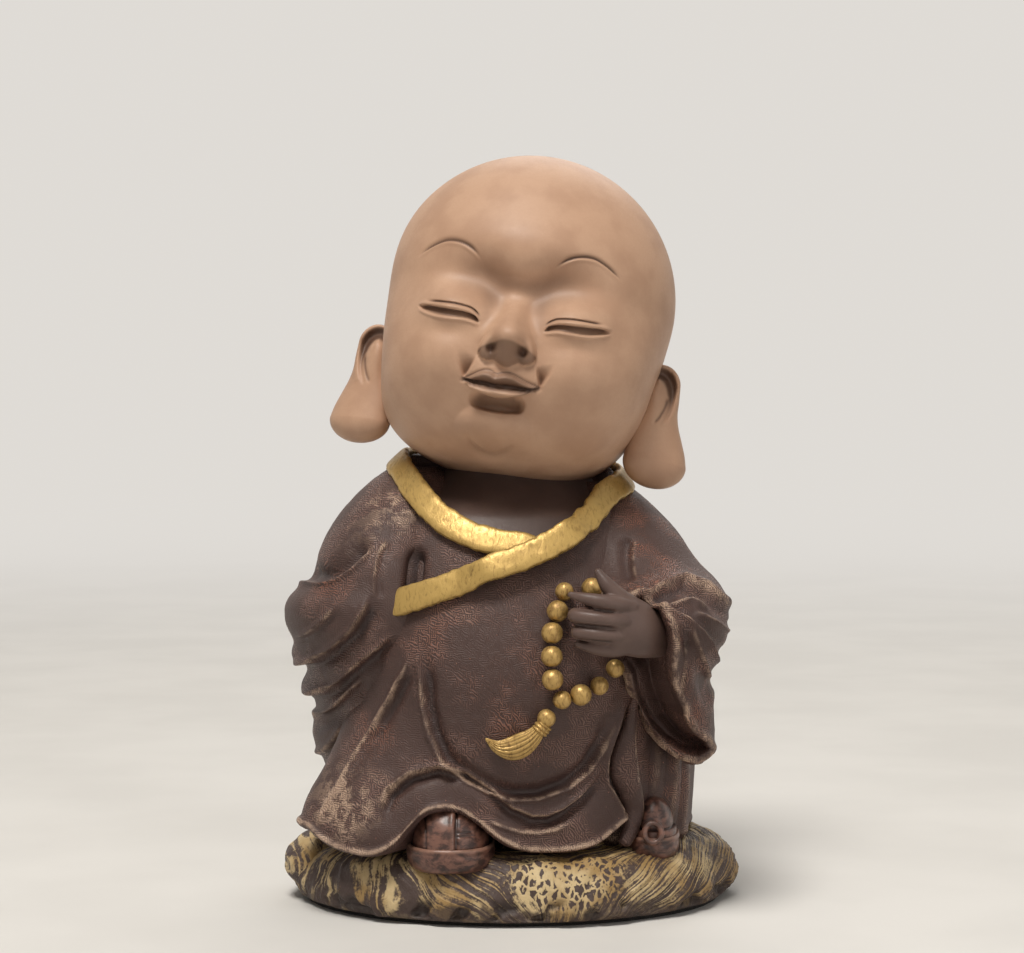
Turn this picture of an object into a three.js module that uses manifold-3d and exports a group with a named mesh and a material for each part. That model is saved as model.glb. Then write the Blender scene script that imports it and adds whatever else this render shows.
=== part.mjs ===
// Standing child monk, a cast resin shelf figurine with separate head, ears, hands, shoes and beads.
// Millimetres, +Z up, front towards -Y, origin in the middle of the underside.
// Left and right in the names are the monk's own: his right side lies towards -X.
import * as THREE from 'three';
import { mergeVertices } from 'three/addons/utils/BufferGeometryUtils.js';
import Module from 'manifold-3d';

const wasm = await Module();
wasm.setup();

// Fits
const clearance = 0.3;
const skinRecess = 1.6;

// The hand reaches further to the front than the base does: a shift that centres the whole on the origin
const centring = 2.2;

// Base
const baseWidth = 97.8;
const baseDepth = 78;
const baseTop = 13.5;
const baseLipHeight = 5.4;
const baseShoulder = 10;
const baseEdgeWave = 0.9;
const feltThickness = 1;
const feltInset = 4;
const curlReach = 6.5;
const curlLength = 9;
const curlHeight = 12.5;

// Head, in its own frame before it is tilted
const headWidth = 62.8;
const headDepth = 60;
const headHeight = 70.4;
const headBottom = 89.8;
const headOffset = 3.3;
const headSetBack = -1;
const crownShare = 0.446;
const jawNarrowing = 1.6;
const jawSquareness = 3.05;
const headRoll = THREE.MathUtils.degToRad(9);
const headTilt = THREE.MathUtils.degToRad(-10);
const headTurn = THREE.MathUtils.degToRad(-5);

// Face, as offsets from the middle of the head
const faceShift = 0.45;
const eyeSlitDepth = 0.9;
const eyeSlitWidth = 1.1;
const browBoneReach = 1.1;
const browValleyDepth = 3.9;
const lidReach = 2.7;
const lidMiddle = [13.2, -4.7];
const cheekReach = 2.3;
const cheekMiddle = [14.6, -15.6];
const wingMiddle = [4.5, -12];
const browPoints = [[8.4, 7], [11.5, 9.1], [14.6, 9.6], [17.8, 8.8], [20.6, 7]];
const browDepth = 0.4;
const browWidth = 0.9;
const noseWingReach = 1.5;
const mouthWidth = 16;
const mouthHeight = -19.6;
const lipReach = 1.6;
const muzzleReach = 2.5;
const muzzleMiddle = [-0.7, -18.6];
const underLipDepth = 3;
const underLipMiddle = [-1.2, -23.7];
const chinReach = 1.9;
const chinMiddle = [-1.2, -28.6];

// Neck
const neckRadius = 15.5;
const neckIntoHead = 9;
const neckSetBack = 2;
const chestBack = -2;
const beforeChest = -50;

// Robe
const robeSquareness = 2.3;
const hemHeight = 15;
const hemTuck = 3.2;
const hemLip = 0.5;
const robeTop = 95.5;
const archBehind = 14;
const cornerReach = 10.5;
const panelReach = 7.5;
const sideFlareReach = 9.5;
const underBellyDepth = 0.9;
const armpitDepth = 2.4;
const foldRimWidth = 1.5;
const foldGrooveWidth = 2;
const backFoldDepth = 1.6;
const bellySwell = 1.6;
const sleeveBackFold = 1;
const sleeveBackPitch = 9.5;

// Collar
const collarWidth = 5.2;
const collarThickness = 1.9;
const bandLift = 0.45;
const crossingAngle = 278;
const crossingSpan = 17;

// Beads and tassel
const beadRadius = 2.2;
const smallBeadRadius = 1.9;
const tasselRadius = 2.9;

// Hands
const fingerRadius = 1.9;
const thumbRadius = 2.9;
const palmThickness = 3.5;

// Shoes
const soleThickness = 4.6;
const soleProud = 2.1;
const rightShoeWidth = 18.5;
const rightShoeLength = 26;
const rightShoeHeight = 9.2;
const leftShoeWidth = 11.5;
const leftShoeLength = 22;
const leftShoeHeight = 9;
const rightShoePlace = { x: -12.8, front: -38.2 };
const leftShoePlace = { x: 29.8, front: -25 };
const soleRim = 0.8;
const strapThickness = 0.9;
const strapWidth = 4.4;
const rightStrapFromToe = 7;
const leftStrapFromToe = 3.4;
const buckleRadius = 1.9;
const buckleWire = 0.6;

// Ears
const earSetBack = 1.5;
const earSlant = 0.3;
const recessRadius = 1.3;
const recessReach = 2.2;

// Sections run upwards: the height, then how far the form reaches each way
const robeSections = [
  { z: 10, left: -34, right: 30, front: -31, back: 29 },
  { z: 16, left: -35, right: 30.5, front: -33.4, back: 30 },
  { z: 24, left: -35, right: 31, front: -33.6, back: 29.6 },
  { z: 32, left: -34.5, right: 31.5, front: -33.2, back: 29 },
  { z: 42, left: -34.5, right: 32, front: -34.4, back: 28.4 },
  { z: 52, left: -34.5, right: 32.5, front: -34.8, back: 28 },
  { z: 60, left: -34, right: 32.5, front: -33.6, back: 27.4 },
  { z: 68, left: -33, right: 31.5, front: -31, back: 26.4 },
  { z: 76, left: -31.5, right: 30, front: -27.6, back: 25 },
  { z: 83, left: -29.5, right: 27.5, front: -23.6, back: 23 },
  { z: 89, left: -27, right: 24, front: -18.8, back: 20.5 },
  { z: 93, left: -24.5, right: 21, front: -14.6, back: 18.4 },
  { z: 96, left: -21, right: 18, front: -11, back: 16.5 },
];
const skirtSections = [
  { z: 10.5, left: 6, right: 36.5, front: -17, back: 8 },
  { z: 20, left: 6, right: 38, front: -19.5, back: 8 },
  { z: 32, left: 6, right: 37.5, front: -20.5, back: 8 },
  { z: 46, left: 8, right: 34, front: -17, back: 8 },
];
const rightSleeveSections = [
  { z: 20, left: -36.5, right: -8, front: -4, back: 31 },
  { z: 25, left: -39.8, right: -4, front: -10, back: 35 },
  { z: 28, left: -42.4, right: -3, front: -12.4, back: 36 },
  { z: 32, left: -43.7, right: -2, front: -15, back: 36.5 },
  { z: 36.6, left: -44.2, right: -1, front: -18, back: 37 },
  { z: 40, left: -43, right: -1, front: -19.6, back: 36.6 },
  { z: 44.6, left: -46, right: -1, front: -22.4, back: 37.2 },
  { z: 48, left: -45.2, right: -1, front: -23.9, back: 36.4 },
  { z: 52.4, left: -47.9, right: -1, front: -25.8, back: 36.4 },
  { z: 54.6, left: -47.4, right: -1, front: -26.5, back: 35.6 },
  { z: 60, left: -48.8, right: -3, front: -28, back: 33 },
  { z: 64.6, left: -48.4, right: -6, front: -28.2, back: 30 },
  { z: 67.8, left: -44.6, right: -9, front: -27.4, back: 26.6 },
  { z: 73, left: -42.4, right: -10, front: -25.6, back: 23 },
  { z: 79, left: -39.8, right: -10, front: -22.4, back: 19 },
  { z: 85, left: -35.6, right: -11, front: -18, back: 16 },
  { z: 90, left: -30.4, right: -13, front: -11.5, back: 12 },
  { z: 93, left: -26.2, right: -16, front: -5, back: 7 },
];
const leftSleeveSections = [
  { z: 31.4, left: 36.2, right: 40.4, front: -22, back: -12 },
  { z: 33.5, left: 33, right: 42, front: -26, back: -6 },
  { z: 36, left: 30.6, right: 42.7, front: -28, back: -3 },
  { z: 40.8, left: 27.6, right: 42.7, front: -31.4, back: 1.4 },
  { z: 45, left: 25.4, right: 42.5, front: -33.5, back: 4 },
  { z: 49.8, left: 22.4, right: 41.5, front: -36.4, back: 7 },
  { z: 53.4, left: 20.6, right: 43.6, front: -37.8, back: 9 },
  { z: 58.6, left: 18, right: 45.5, front: -39.5, back: 12 },
  { z: 63.7, left: 15.2, right: 46, front: -39.5, back: 15 },
  { z: 68.5, left: 13, right: 44, front: -35, back: 16 },
  { z: 73, left: 11, right: 39.8, front: -27, back: 16 },
  { z: 80, left: 10, right: 35, front: -20, back: 15 },
  { z: 86, left: 10, right: 29, front: -13.5, back: 12 },
  { z: 90, left: 12, right: 24, front: -7, back: 7 },
];
const sleeveMouthSections = [
  { z: 34.5, left: 35.6, right: 39.6, front: -34, back: -16 },
  { z: 39, left: 30.4, right: 37.6, front: -40, back: -16 },
  { z: 45, left: 27.6, right: 34.8, front: -44, back: -16 },
  { z: 52, left: 24, right: 32.6, front: -47, back: -16 },
  { z: 59, left: 17, right: 32.2, front: -50, back: -17 },
  { z: 65, left: 17, right: 31.4, front: -50, back: -19 },
  { z: 70, left: 20, right: 28.6, front: -48, back: -22 },
];
const cuffSections = [
  { z: 33, left: -9, right: 8, front: 31, back: 33.5 },
  { z: 38, left: -9, right: 8, front: 28.6, back: 35 },
  { z: 46, left: -9, right: 8, front: 28.4, back: 35.2 },
  { z: 54, left: -9, right: 8, front: 29.4, back: 34 },
];

// Nose in the head's frame: the height, how far it stands out, and its half width
const noseSections = [
  { z: -16, reach: 0, half: 3.6 },
  { z: -15, reach: 1.3, half: 5 },
  { z: -13.8, reach: 2.8, half: 5.7 },
  { z: -12.4, reach: 4.4, half: 6.1 },
  { z: -11, reach: 5.7, half: 6 },
  { z: -9.8, reach: 6.2, half: 5.6 },
  { z: -8.2, reach: 5.6, half: 5.1 },
  { z: -6.2, reach: 4.1, half: 4.6 },
  { z: -4, reach: 2.5, half: 4.4 },
  { z: -2, reach: 1.2, half: 4.4 },
  { z: 0, reach: 0.4, half: 4.4 },
  { z: 2.5, reach: 0, half: 4.4 },
];

// Ear in the head's frame: the height, its inner and outer edge, and half its thickness
const earSections = [
  { z: -32.4, inner: 29.4, outer: 31.6, thick: 2.2 },
  { z: -31.8, inner: 27.6, outer: 34.6, thick: 3.3 },
  { z: -30.6, inner: 26.3, outer: 36.6, thick: 4.5 },
  { z: -29, inner: 25.3, outer: 37.9, thick: 4.9 },
  { z: -26.8, inner: 24.8, outer: 38.5, thick: 5 },
  { z: -23.6, inner: 25.2, outer: 37.6, thick: 4.5 },
  { z: -19.6, inner: 26.2, outer: 36.1, thick: 3.8 },
  { z: -15.6, inner: 27.2, outer: 35.1, thick: 3.2 },
  { z: -11.6, inner: 27.4, outer: 34.9, thick: 3 },
  { z: -8.4, inner: 27.6, outer: 34.3, thick: 2.7 },
  { z: -7, inner: 28.3, outer: 33.5, thick: 2.5 },
  { z: -6, inner: 29.4, outer: 32.5, thick: 1.8 },
  { z: -5.5, inner: 30.6, outer: 31.4, thick: 1.2 },
];
const earRecess = [[29.4, -8.2], [31.7, -8.8], [32.7, -11.6], [32.8, -14.6], [32.2, -17.4]];

// Eye slit beside the middle of the face, and the brow above it
const eyeRoute = [[6.7, -8], [8, -7.2], [11.2, -6.95], [15, -6.75], [18.8, -5.85], [20.3, -5.45]];

// Routes over the front of the robe: sideways place, then height
const bellyCrease = [
  [-19.6, 60], [-19, 54], [-18.4, 49.9], [-18.3, 45.2], [-16.9, 39.5], [-14.1, 33.9], [-9.4, 30.1],
  [-4.7, 27.8], [0, 26.5], [5.7, 26.5], [11.4, 28.4], [16.1, 31.8], [18.9, 35.8], [21, 40.5], [23, 46],
];
const underFold = [
  [-26.6, 19.5], [-26.8, 24], [-25.4, 27.6], [-21, 31], [-15.4, 32.6], [-9.7, 31.3], [-4.1, 27.8],
  [0.1, 24.2], [4.3, 22.4], [7.5, 22.3], [10.7, 23.6], [14.4, 26.2], [17.7, 29.4], [20, 33],
];
const panelRim = [[-20.6, 56], [-25.8, 44.3], [-30, 37.7], [-34.6, 30.1], [-38.8, 23.5], [-41, 18.8]];
const flapInner = [[24.6, 46], [22.6, 41], [20.6, 34], [20.6, 28.6], [22.4, 25], [23.6, 22.6], [24, 19]];

// Arches that the hem leaves over the shoes
const rightArch = [
  [-28.6, 14], [-23.9, 17.1], [-21, 20.4], [-18.2, 23], [-14, 24.1], [-10.5, 23.4], [-7, 21.2],
  [-3.4, 18.3], [1.6, 15.8], [6.4, 14],
];
const leftArch = [[14, 14], [18.5, 16.5], [22.8, 19.2], [24.5, 20.6], [28, 18], [31, 14]];

// Folds of cloth. side is the side of the route that the groove lies on: 1 is left of its direction, -1 right
const robeFolds = [
  { route: bellyCrease, height: 1.1, groove: 1.7, side: 1, full: 0.4 },
  { route: underFold, height: 1.1, groove: 1.5, side: -1, full: 0.5 },
  { route: panelRim, height: 0.6, groove: 0.5, side: 1, full: 0 },
  { route: flapInner, height: 1, groove: 1.1, side: 1, full: 0 },
];
const rightSleeveFolds = [
  {
    route: [[-50, 66.6], [-45.3, 68], [-40, 69.4], [-36.4, 70.7], [-33.3, 72.9], [-28.6, 78.4]],
    height: 1.3, groove: 2.2, side: 1, full: 1.1,
  },
  {
    route: [[-49, 49], [-45, 51], [-41.7, 52.4], [-35.9, 57.3], [-32.8, 60.2], [-30.4, 64], [-28.6, 68]],
    height: 1.3, groove: 1.6, side: -1, full: 0.6,
  },
  {
    route: [[-47, 42.8], [-43, 44.2], [-37.3, 47.6], [-33.7, 51], [-27.5, 56.4], [-24, 59.6]],
    height: 1.2, groove: 1.5, side: -1, full: 0.6,
  },
  {
    route: [[-46, 36], [-43, 38], [-40.4, 40], [-37.5, 42.6], [-34, 46.6], [-30, 50]],
    height: 1, groove: 1.2, side: -1, full: 0.4,
  },
];
const leftSleeveFolds = [
  {
    route: [[23, 65.6], [27.9, 68.1], [31, 69.7], [35.7, 70.9], [40.5, 69], [44.6, 65.3], [47, 62]],
    height: 1.2, groove: 1.7, side: -1, full: 0.3,
  },
  {
    route: [[30, 67], [32.9, 65.6], [36.1, 64], [38.9, 61.5], [40.8, 59], [42.4, 55.5], [44, 52]],
    height: 1, groove: 1, side: 1, full: 0.4,
  },
  {
    route: [[35.4, 64.5], [36.7, 59.9], [38, 56.8], [39.5, 53], [40.8, 49.9], [41.6, 47], [42, 43]],
    height: 0.9, groove: 1.1, side: -1, full: 0,
  },
];
const flapRoute = [
  [25.4, 46], [24.6, 41], [23.4, 35], [23.4, 30], [24.6, 26], [25.4, 22], [24.8, 18.4], [23.6, 15.6],
];

// Neckline routes: angle round the robe in degrees from +X, then height
const overBandRoute = [
  [372, 90.4], [353, 89.6], [335, 88.6], [318, 87], [302, 82.6], [289, 78.4],
  [276, 74.8], [262, 71.4], [247, 68.4], [233, 66], [221, 64.6],
];
const underBandRoute = [
  [281, 76.2], [272, 77.3], [259, 79.2], [246, 82.4], [232, 86.9], [214, 91.2], [194, 93.2],
  [170, 93.6], [145, 93.2], [118, 92.4], [90, 92], [62, 91.6], [38, 91], [12, 90.4],
];

// Bead places: sideways, height, how far the bead lies off the robe beyond touching, and its radius
const beadPlaces = [
  { x: 15.4, z: 68.3, proud: 0.2, radius: beadRadius },
  { x: 10.2, z: 67.9, proud: 0.1, radius: smallBeadRadius },
  { x: 8.8, z: 64.1, proud: 0, radius: beadRadius },
  { x: 7.7, z: 60, proud: 0, radius: beadRadius },
  { x: 7.6, z: 55.6, proud: 0, radius: beadRadius },
  { x: 7.7, z: 51.2, proud: 0, radius: beadRadius },
  { x: 9.6, z: 47.2, proud: 0, radius: smallBeadRadius },
  { x: 13.1, z: 48.1, proud: 0, radius: beadRadius },
  { x: 16.8, z: 49.6, proud: 0, radius: smallBeadRadius },
  { x: 19.8, z: 52.8, proud: 0.2, radius: smallBeadRadius },
];
const tasselBeadPlace = { x: 6.6, z: 43.6, proud: 0, radius: smallBeadRadius };
const tasselRoute = [[5.6, 40.9], [3.4, 38.8], [0.4, 37.2], [-2.8, 37.4], [-5.2, 39]];

// Left hand: the palm from the wrist, the thumb, and the fingers from the palm to the tip, each with its
// half heights or radii on the way
const palm = { route: [[33, -26.5, 58.4], [29.4, -32.1, 59.6], [25.6, -36.9, 61.4], [21.6, -39.3, 62.4]] };
palm.halfHeights = [3.6, 4.4, 5.6, 5.6];
const thumbRoute = [[25.6, -36.5, 64.6], [22, -38.1, 67.6], [19.4, -38.5, 70.4], [17.5, -37.9, 73.1]];
const fingers = [
  { route: [[24, -38.5, 66], [20.1, -40.7, 67], [16, -41.1, 67.9], [11.8, -39.9, 68.8]], taper: 0.4 },
  { route: [[24, -38.9, 63.2], [20.4, -41.1, 63.6], [16.4, -41.6, 64.2], [12.8, -40, 64.6]], taper: 0.85 },
  { route: [[24, -38.5, 60.6], [20.2, -40.8, 60.5], [16.6, -41.2, 60.9], [13.4, -39.7, 61.2]], taper: 0.85 },
  { route: [[24, -37.5, 58.2], [19.8, -39.7, 57.6], [16.6, -39.9, 58], [13.4, -38.7, 58.6]], taper: 0.45 },
];

// The right hand lies closed behind the back: the fist's route, its top finger and the pitch to the others
const fistRoute = [[-8, 31.6, 44.5], [-2, 32.4, 44], [4, 32.6, 43], [9, 32, 41.6]];
const topFistFinger = [[6, 35, 46.4], [11, 35.2, 45.8], [13.6, 32.6, 45.4]];
const fistFingerPitch = 2.9;
const fistFingerRadius = 1.6;

// Value of one column of a section list at any height, smooth between the sections
function sectionValue(sections, key, height) {
  const last = sections.length - 1;
  const z = THREE.MathUtils.clamp(height, sections[0].z, sections[last].z);
  let k = 0;
  while (k < last - 1 && z > sections[k + 1].z) k += 1;
  const slope = (i) => {
    const before = sections[Math.max(i - 1, 0)];
    const after = sections[Math.min(i + 1, last)];
    return (after[key] - before[key]) / (after.z - before.z);
  };
  const span = sections[k + 1].z - sections[k].z;
  const t = (z - sections[k].z) / span;
  const rise = sections[k + 1][key] - sections[k][key];
  return sections[k][key]
    + rise * (3 * t * t - 2 * t * t * t)
    + span * (slope(k) * (t - 2 * t * t + t * t * t) + slope(k + 1) * (t * t * t - t * t));
}

function sectionAt(sections, height) {
  const [left, right, front, back] = ['left', 'right', 'front', 'back']
    .map((key) => sectionValue(sections, key, height));
  return {
    midX: (left + right) / 2,
    midY: (front + back) / 2,
    halfX: (right - left) / 2,
    halfY: (back - front) / 2,
  };
}

// Point on the rounded outline of a section, at an angle anticlockwise from +X
function outlinePoint(section, angle, squareness) {
  const c = Math.cos(angle);
  const s = Math.sin(angle);
  const power = 2 / squareness;
  return new THREE.Vector2(
    section.midX + section.halfX * Math.sign(c) * Math.abs(c) ** power,
    section.midY + section.halfY * Math.sign(s) * Math.abs(s) ** power,
  );
}

const ease = (t) => THREE.MathUtils.smoothstep(t, 0, 1);
const bell = (distance, width) => Math.exp(-((distance / width) ** 2));

// Distance from a point to a route of [sideways, height] points, the share of the route there, and the
// distance with its sign: positive to the left of the route's direction
function alongRoute(route, x, z) {
  let nearest = { distance: Infinity, share: 0, signed: Infinity };
  for (let k = 0; k < route.length - 1; k += 1) {
    const [ax, az] = route[k];
    const dx = route[k + 1][0] - ax;
    const dz = route[k + 1][1] - az;
    const t = THREE.MathUtils.clamp(((x - ax) * dx + (z - az) * dz) / (dx * dx + dz * dz), 0, 1);
    const offX = x - ax - t * dx;
    const offZ = z - az - t * dz;
    const distance = Math.hypot(offX, offZ);
    if (distance < nearest.distance) {
      const signed = dx * offZ - dz * offX < 0 ? -distance : distance;
      nearest = { distance, share: (k + t) / (route.length - 1), signed };
    }
  }
  return nearest;
}

// How much a form along a route is there, fading at both ends
function present(share, steepness) {
  return ease(Math.min(steepness * share, steepness * (1 - share)));
}

// Depth of a rounded groove along a route, as a negative height
function groove(route, x, z, depth, width) {
  const { distance, share } = alongRoute(route, x, z);
  return -depth * bell(distance, width) * present(share, 5);
}

// A rounded rim along a route, with a groove on one side of it and fuller cloth on the other
function foldRelief(fold, x, z) {
  const { share, signed } = alongRoute(fold.route, x, z);
  const off = signed * fold.side;
  const rim = fold.height * bell(off + 0.6, foldRimWidth);
  const cut = fold.groove * bell(off - foldGrooveWidth * 0.7, foldGrooveWidth);
  const plump = fold.full * ease(-off / foldRimWidth) * Math.exp(-Math.max(-off, 0) / 5);
  return (rim - cut + plump) * present(share, 6);
}

function foldsRelief(folds, x, z) {
  return folds.reduce((sum, fold) => sum + foldRelief(fold, x, z), 0);
}

// Closed body from rings that run anticlockwise seen against their stacking direction
function bodyFromRings(rings) {
  const count = rings[0].length;
  const middle = (ring) => ring.reduce((sum, p) => sum.add(p), new THREE.Vector3()).divideScalar(count);
  const points = rings.flat().concat([middle(rings[0]), middle(rings[rings.length - 1])]);
  const faces = [];
  const lastRing = (rings.length - 1) * count;
  for (let i = 0; i < count; i += 1) {
    const next = (i + 1) % count;
    for (let row = 0; row < lastRing; row += count) {
      faces.push(row + i, row + next, row + count + next);
      faces.push(row + i, row + count + next, row + count + i);
    }
    faces.push(points.length - 2, next, i);
    faces.push(points.length - 1, lastRing + i, lastRing + next);
  }
  return geometryFrom(points.flatMap((p) => [p.x, p.y, p.z]), faces);
}

function geometryFrom(positions, faces) {
  const geometry = new THREE.BufferGeometry();
  geometry.setAttribute('position', new THREE.Float32BufferAttribute(positions, 3));
  geometry.setIndex(faces);
  return geometry;
}

// Closed body through a section list, from its lowest height to its highest
function loft(sections, { rows, columns, squareness = 2.2, shape = (p) => p }) {
  const low = sections[0].z;
  const high = sections[sections.length - 1].z;
  const rings = [];
  for (let row = 0; row <= rows; row += 1) {
    const height = low + ((high - low) * row) / rows;
    const section = sectionAt(sections, height);
    rings.push(angles(columns).map((angle) => {
      const { x, y } = outlinePoint(section, angle, squareness);
      return shape(new THREE.Vector3(x, y, height), angle);
    }));
  }
  return bodyFromRings(rings);
}

function angles(columns) {
  return Array.from({ length: columns }, (_, i) => (2 * Math.PI * i) / columns);
}

// Body swept along a route of [x, y, z] points, with oval sections and rounded ends
function sweep(route, { wide, thick, across, rows = 8, columns = 12 }) {
  const curve = new THREE.CatmullRomCurve3(route.map((p) => new THREE.Vector3(...p)), false, 'centripetal');
  const caps = [0.5, 0.9];
  const stations = [];
  for (const reach of [...caps].reverse()) stations.push({ t: 0, push: -reach });
  for (let row = 0; row <= rows; row += 1) stations.push({ t: row / rows, push: 0 });
  for (const reach of caps) stations.push({ t: 1, push: reach });
  const rings = stations.map(({ t, push }) => {
    const tangent = curve.getTangent(t);
    const side = new THREE.Vector3(...across).projectOnPlane(tangent).normalize();
    const other = tangent.clone().cross(side);
    const shrink = Math.sqrt(1 - push * push);
    const centre = curve.getPoint(t).addScaledVector(tangent, push * Math.min(wide(t), thick(t)));
    return angles(columns).map((angle) => centre.clone()
      .addScaledVector(side, wide(t) * shrink * Math.cos(angle))
      .addScaledVector(other, thick(t) * shrink * Math.sin(angle)));
  });
  return bodyFromRings(rings);
}

// Value that runs smoothly through a list as t goes from 0 to 1
function through(values) {
  return (t) => {
    const place = t * (values.length - 1);
    const k = Math.min(Math.floor(place), values.length - 2);
    return THREE.MathUtils.lerp(values[k], values[k + 1], ease(place - k));
  };
}

function merged(geometry) {
  const bare = geometry.clone();
  bare.deleteAttribute('normal');
  bare.deleteAttribute('uv');
  return mergeVertices(bare, 1e-5);
}

function solid(geometry) {
  const { index, attributes } = merged(geometry);
  return new wasm.Manifold(new wasm.Mesh({
    numProp: 3,
    vertProperties: Float32Array.from(attributes.position.array),
    triVerts: Uint32Array.from(index.array),
  }));
}

function geometryOf(manifold) {
  const { vertProperties, triVerts } = manifold.getMesh();
  return geometryFrom(Array.from(vertProperties), Array.from(triVerts));
}

// The same body with its skin moved outwards
function grown(geometry, distance = clearance) {
  const bigger = merged(geometry);
  bigger.computeVertexNormals();
  const { position, normal } = bigger.attributes;
  for (let i = 0; i < position.count; i += 1) {
    const moved = new THREE.Vector3().fromBufferAttribute(position, i)
      .addScaledVector(new THREE.Vector3().fromBufferAttribute(normal, i), distance);
    position.setXYZ(i, moved.x, moved.y, moved.z);
  }
  return bigger;
}

// What is left of a body after others are cut from it with clearance: its largest piece
function seated(geometry, ...neighbours) {
  let rest = solid(geometry);
  for (const neighbour of neighbours) rest = rest.subtract(solid(grown(neighbour)));
  return geometryOf(largest(rest));
}

function largest(manifold) {
  return manifold.decompose().reduce((best, piece) => (piece.volume() > best.volume() ? piece : best));
}

function joined(...geometries) {
  return geometryOf(geometries.map(solid).reduce((sum, next) => sum.add(next)));
}

function without(geometry, ...tools) {
  return geometryOf(largest(tools.map(solid).reduce((rest, tool) => rest.subtract(tool), solid(geometry))));
}

// Robe

function bellyRelief(x, z) {
  return bellySwell * bell(Math.hypot(x - 1.5, (z - 47) * 0.9), 21);
}

function robeFoldRelief(x, z) {
  const { share, signed } = alongRoute(bellyCrease, x, z);
  const underBelly = underBellyDepth * bell(signed + 2.5, 4.5) * present(share, 4);
  return foldsRelief(robeFolds, x, z) - underBelly;
}

// Narrow pocket between the right sleeve and the chest
function armpitPocket(x, z) {
  return armpitDepth * bell(x + 20, 1.7) * ease((77.4 - z) / 2.2) * ease((z - 66.5) / 3);
}

function backRelief(x, z) {
  const low = ease((58 - z) / 34);
  return backFoldDepth * low * (0.75 * Math.sin(x * 0.34 + 0.6) + 0.4 * Math.sin(x * 0.71 + 2));
}

// The skirt swings out at its right front corner, in the panel beside it and along its left side
function flare(angle, z) {
  const corner = cornerReach * ease((50 - z) / 32) * bell(turnBetween(angle, 203), 0.34);
  const panel = panelReach * ease((46 - z) / 30) * bell(turnBetween(angle, 230), 0.4);
  const side = sideFlareReach * ease((56 - z) / 30) * bell(turnBetween(angle, 14), 0.5);
  return corner + panel + side;
}

// Smallest turn in radians between an angle and a direction in degrees
function turnBetween(angle, degrees) {
  const turn = angle - THREE.MathUtils.degToRad(degrees);
  return Math.atan2(Math.sin(turn), Math.cos(turn));
}

// Point of the robe with its folds, or with the belly's swell alone
function robePoint(angle, z, folded = true) {
  const section = sectionAt(robeSections, z);
  const plain = outlinePoint(section, angle, robeSquareness);
  const s = Math.sin(angle);
  const swing = flare(angle, z);
  const x = plain.x + swing * Math.cos(angle);
  const relief = s < 0 ? bellyRelief(plain.x, z) : backRelief(x, z);
  const folds = folded && s < 0 ? robeFoldRelief(x, z) - armpitPocket(x, z) : 0;
  return new THREE.Vector3(
    x + folds * Math.cos(angle) * 0.5,
    plain.y + (relief + folds + swing) * s,
    z,
  );
}

// Depth of the robe's front at a place, without its folds
function robeFront(x, z) {
  const section = sectionAt(robeSections, z);
  const share = Math.min(Math.abs((x - section.midX) / section.halfX), 0.999);
  const s = (1 - share ** robeSquareness) ** (1 / robeSquareness);
  return section.midY - section.halfY * s - bellyRelief(x, z) * s ** (robeSquareness / 2);
}

function robeForm() {
  const columns = 64;
  const rows = 24;
  const foldRows = 13;
  const foldsUpTo = 40;
  const turn = angles(columns).map((angle) => angle - 0.36 * Math.cos(angle));
  const rings = [
    turn.map((angle) => tucked(robePoint(angle, hemHeight), baseTop)),
    turn.map((angle) => tucked(robePoint(angle, hemHeight), hemHeight - hemLip)),
  ];
  for (let row = 0; row <= rows; row += 1) {
    const height = row < foldRows
      ? THREE.MathUtils.mapLinear(row, 0, foldRows, hemHeight, foldsUpTo)
      : THREE.MathUtils.mapLinear(row, foldRows, rows, foldsUpTo, robeTop);
    rings.push(turn.map((angle) => robePoint(angle, height)));
  }
  return bodyFromRings(rings);
}

// Body that clears an arch of the hem over a shoe
function archForm(route, front, back) {
  const low = baseTop - clearance;
  const foot = [[route[0][0], low], ...route, [route.at(-1)[0], low]];
  return throughFront(new THREE.Shape(foot.map(([x, z]) => new THREE.Vector2(x, z))), front, back);
}

// A point of the hem drawn in under the robe to a given height
function tucked(point, height) {
  const inward = new THREE.Vector2(point.x, point.y).setLength(hemTuck);
  return new THREE.Vector3(point.x - inward.x, point.y - inward.y, height);
}

// Surface of the robe with its outward direction
function robeFrame(angle, z) {
  const step = 0.02;
  const at = (turn, height) => robePoint(turn, height, false);
  const round = at(angle + step, z).sub(at(angle - step, z));
  const up = at(angle, z + 1).sub(at(angle, z - 1));
  return { point: at(angle, z), normal: round.cross(up).normalize() };
}

// Band lying on the robe along a route of [degrees, height]
function collarBand(route, liftAt = () => 0) {
  const curve = new THREE.CatmullRomCurve3(route.map(([angle, z]) => new THREE.Vector3(angle, z, 0)));
  const steps = route.length * 2;
  const places = Array.from({ length: steps + 1 }, (_, k) => {
    const { x: degrees, y: height } = curve.getPoint(k / steps);
    return { ...robeFrame(THREE.MathUtils.degToRad(degrees), height), lift: bandLift + liftAt(degrees) };
  });
  const half = collarWidth / 2;
  const profile = [[-half, 0], [-half, 0.75], [-half * 0.6, 1], [half * 0.6, 1], [half, 0.75], [half, 0]];
  const rings = places.map(({ point, normal, lift }, k) => {
    const ahead = places[Math.min(k + 1, steps)].point;
    const behind = places[Math.max(k - 1, 0)].point;
    const across = normal.clone().cross(ahead.clone().sub(behind)).normalize();
    return profile.map(([side, out]) => point.clone()
      .addScaledVector(across, side)
      .addScaledVector(normal, lift + out * collarThickness));
  });
  return bodyFromRings(facingOut(rings));
}

// Extra height with which the upper band steps over the lower one where they cross
function overCrossing(degrees) {
  const reach = Math.abs(degrees - crossingAngle) / crossingSpan;
  return (collarThickness + clearance) * ease(2 - reach * 1.4);
}

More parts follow.
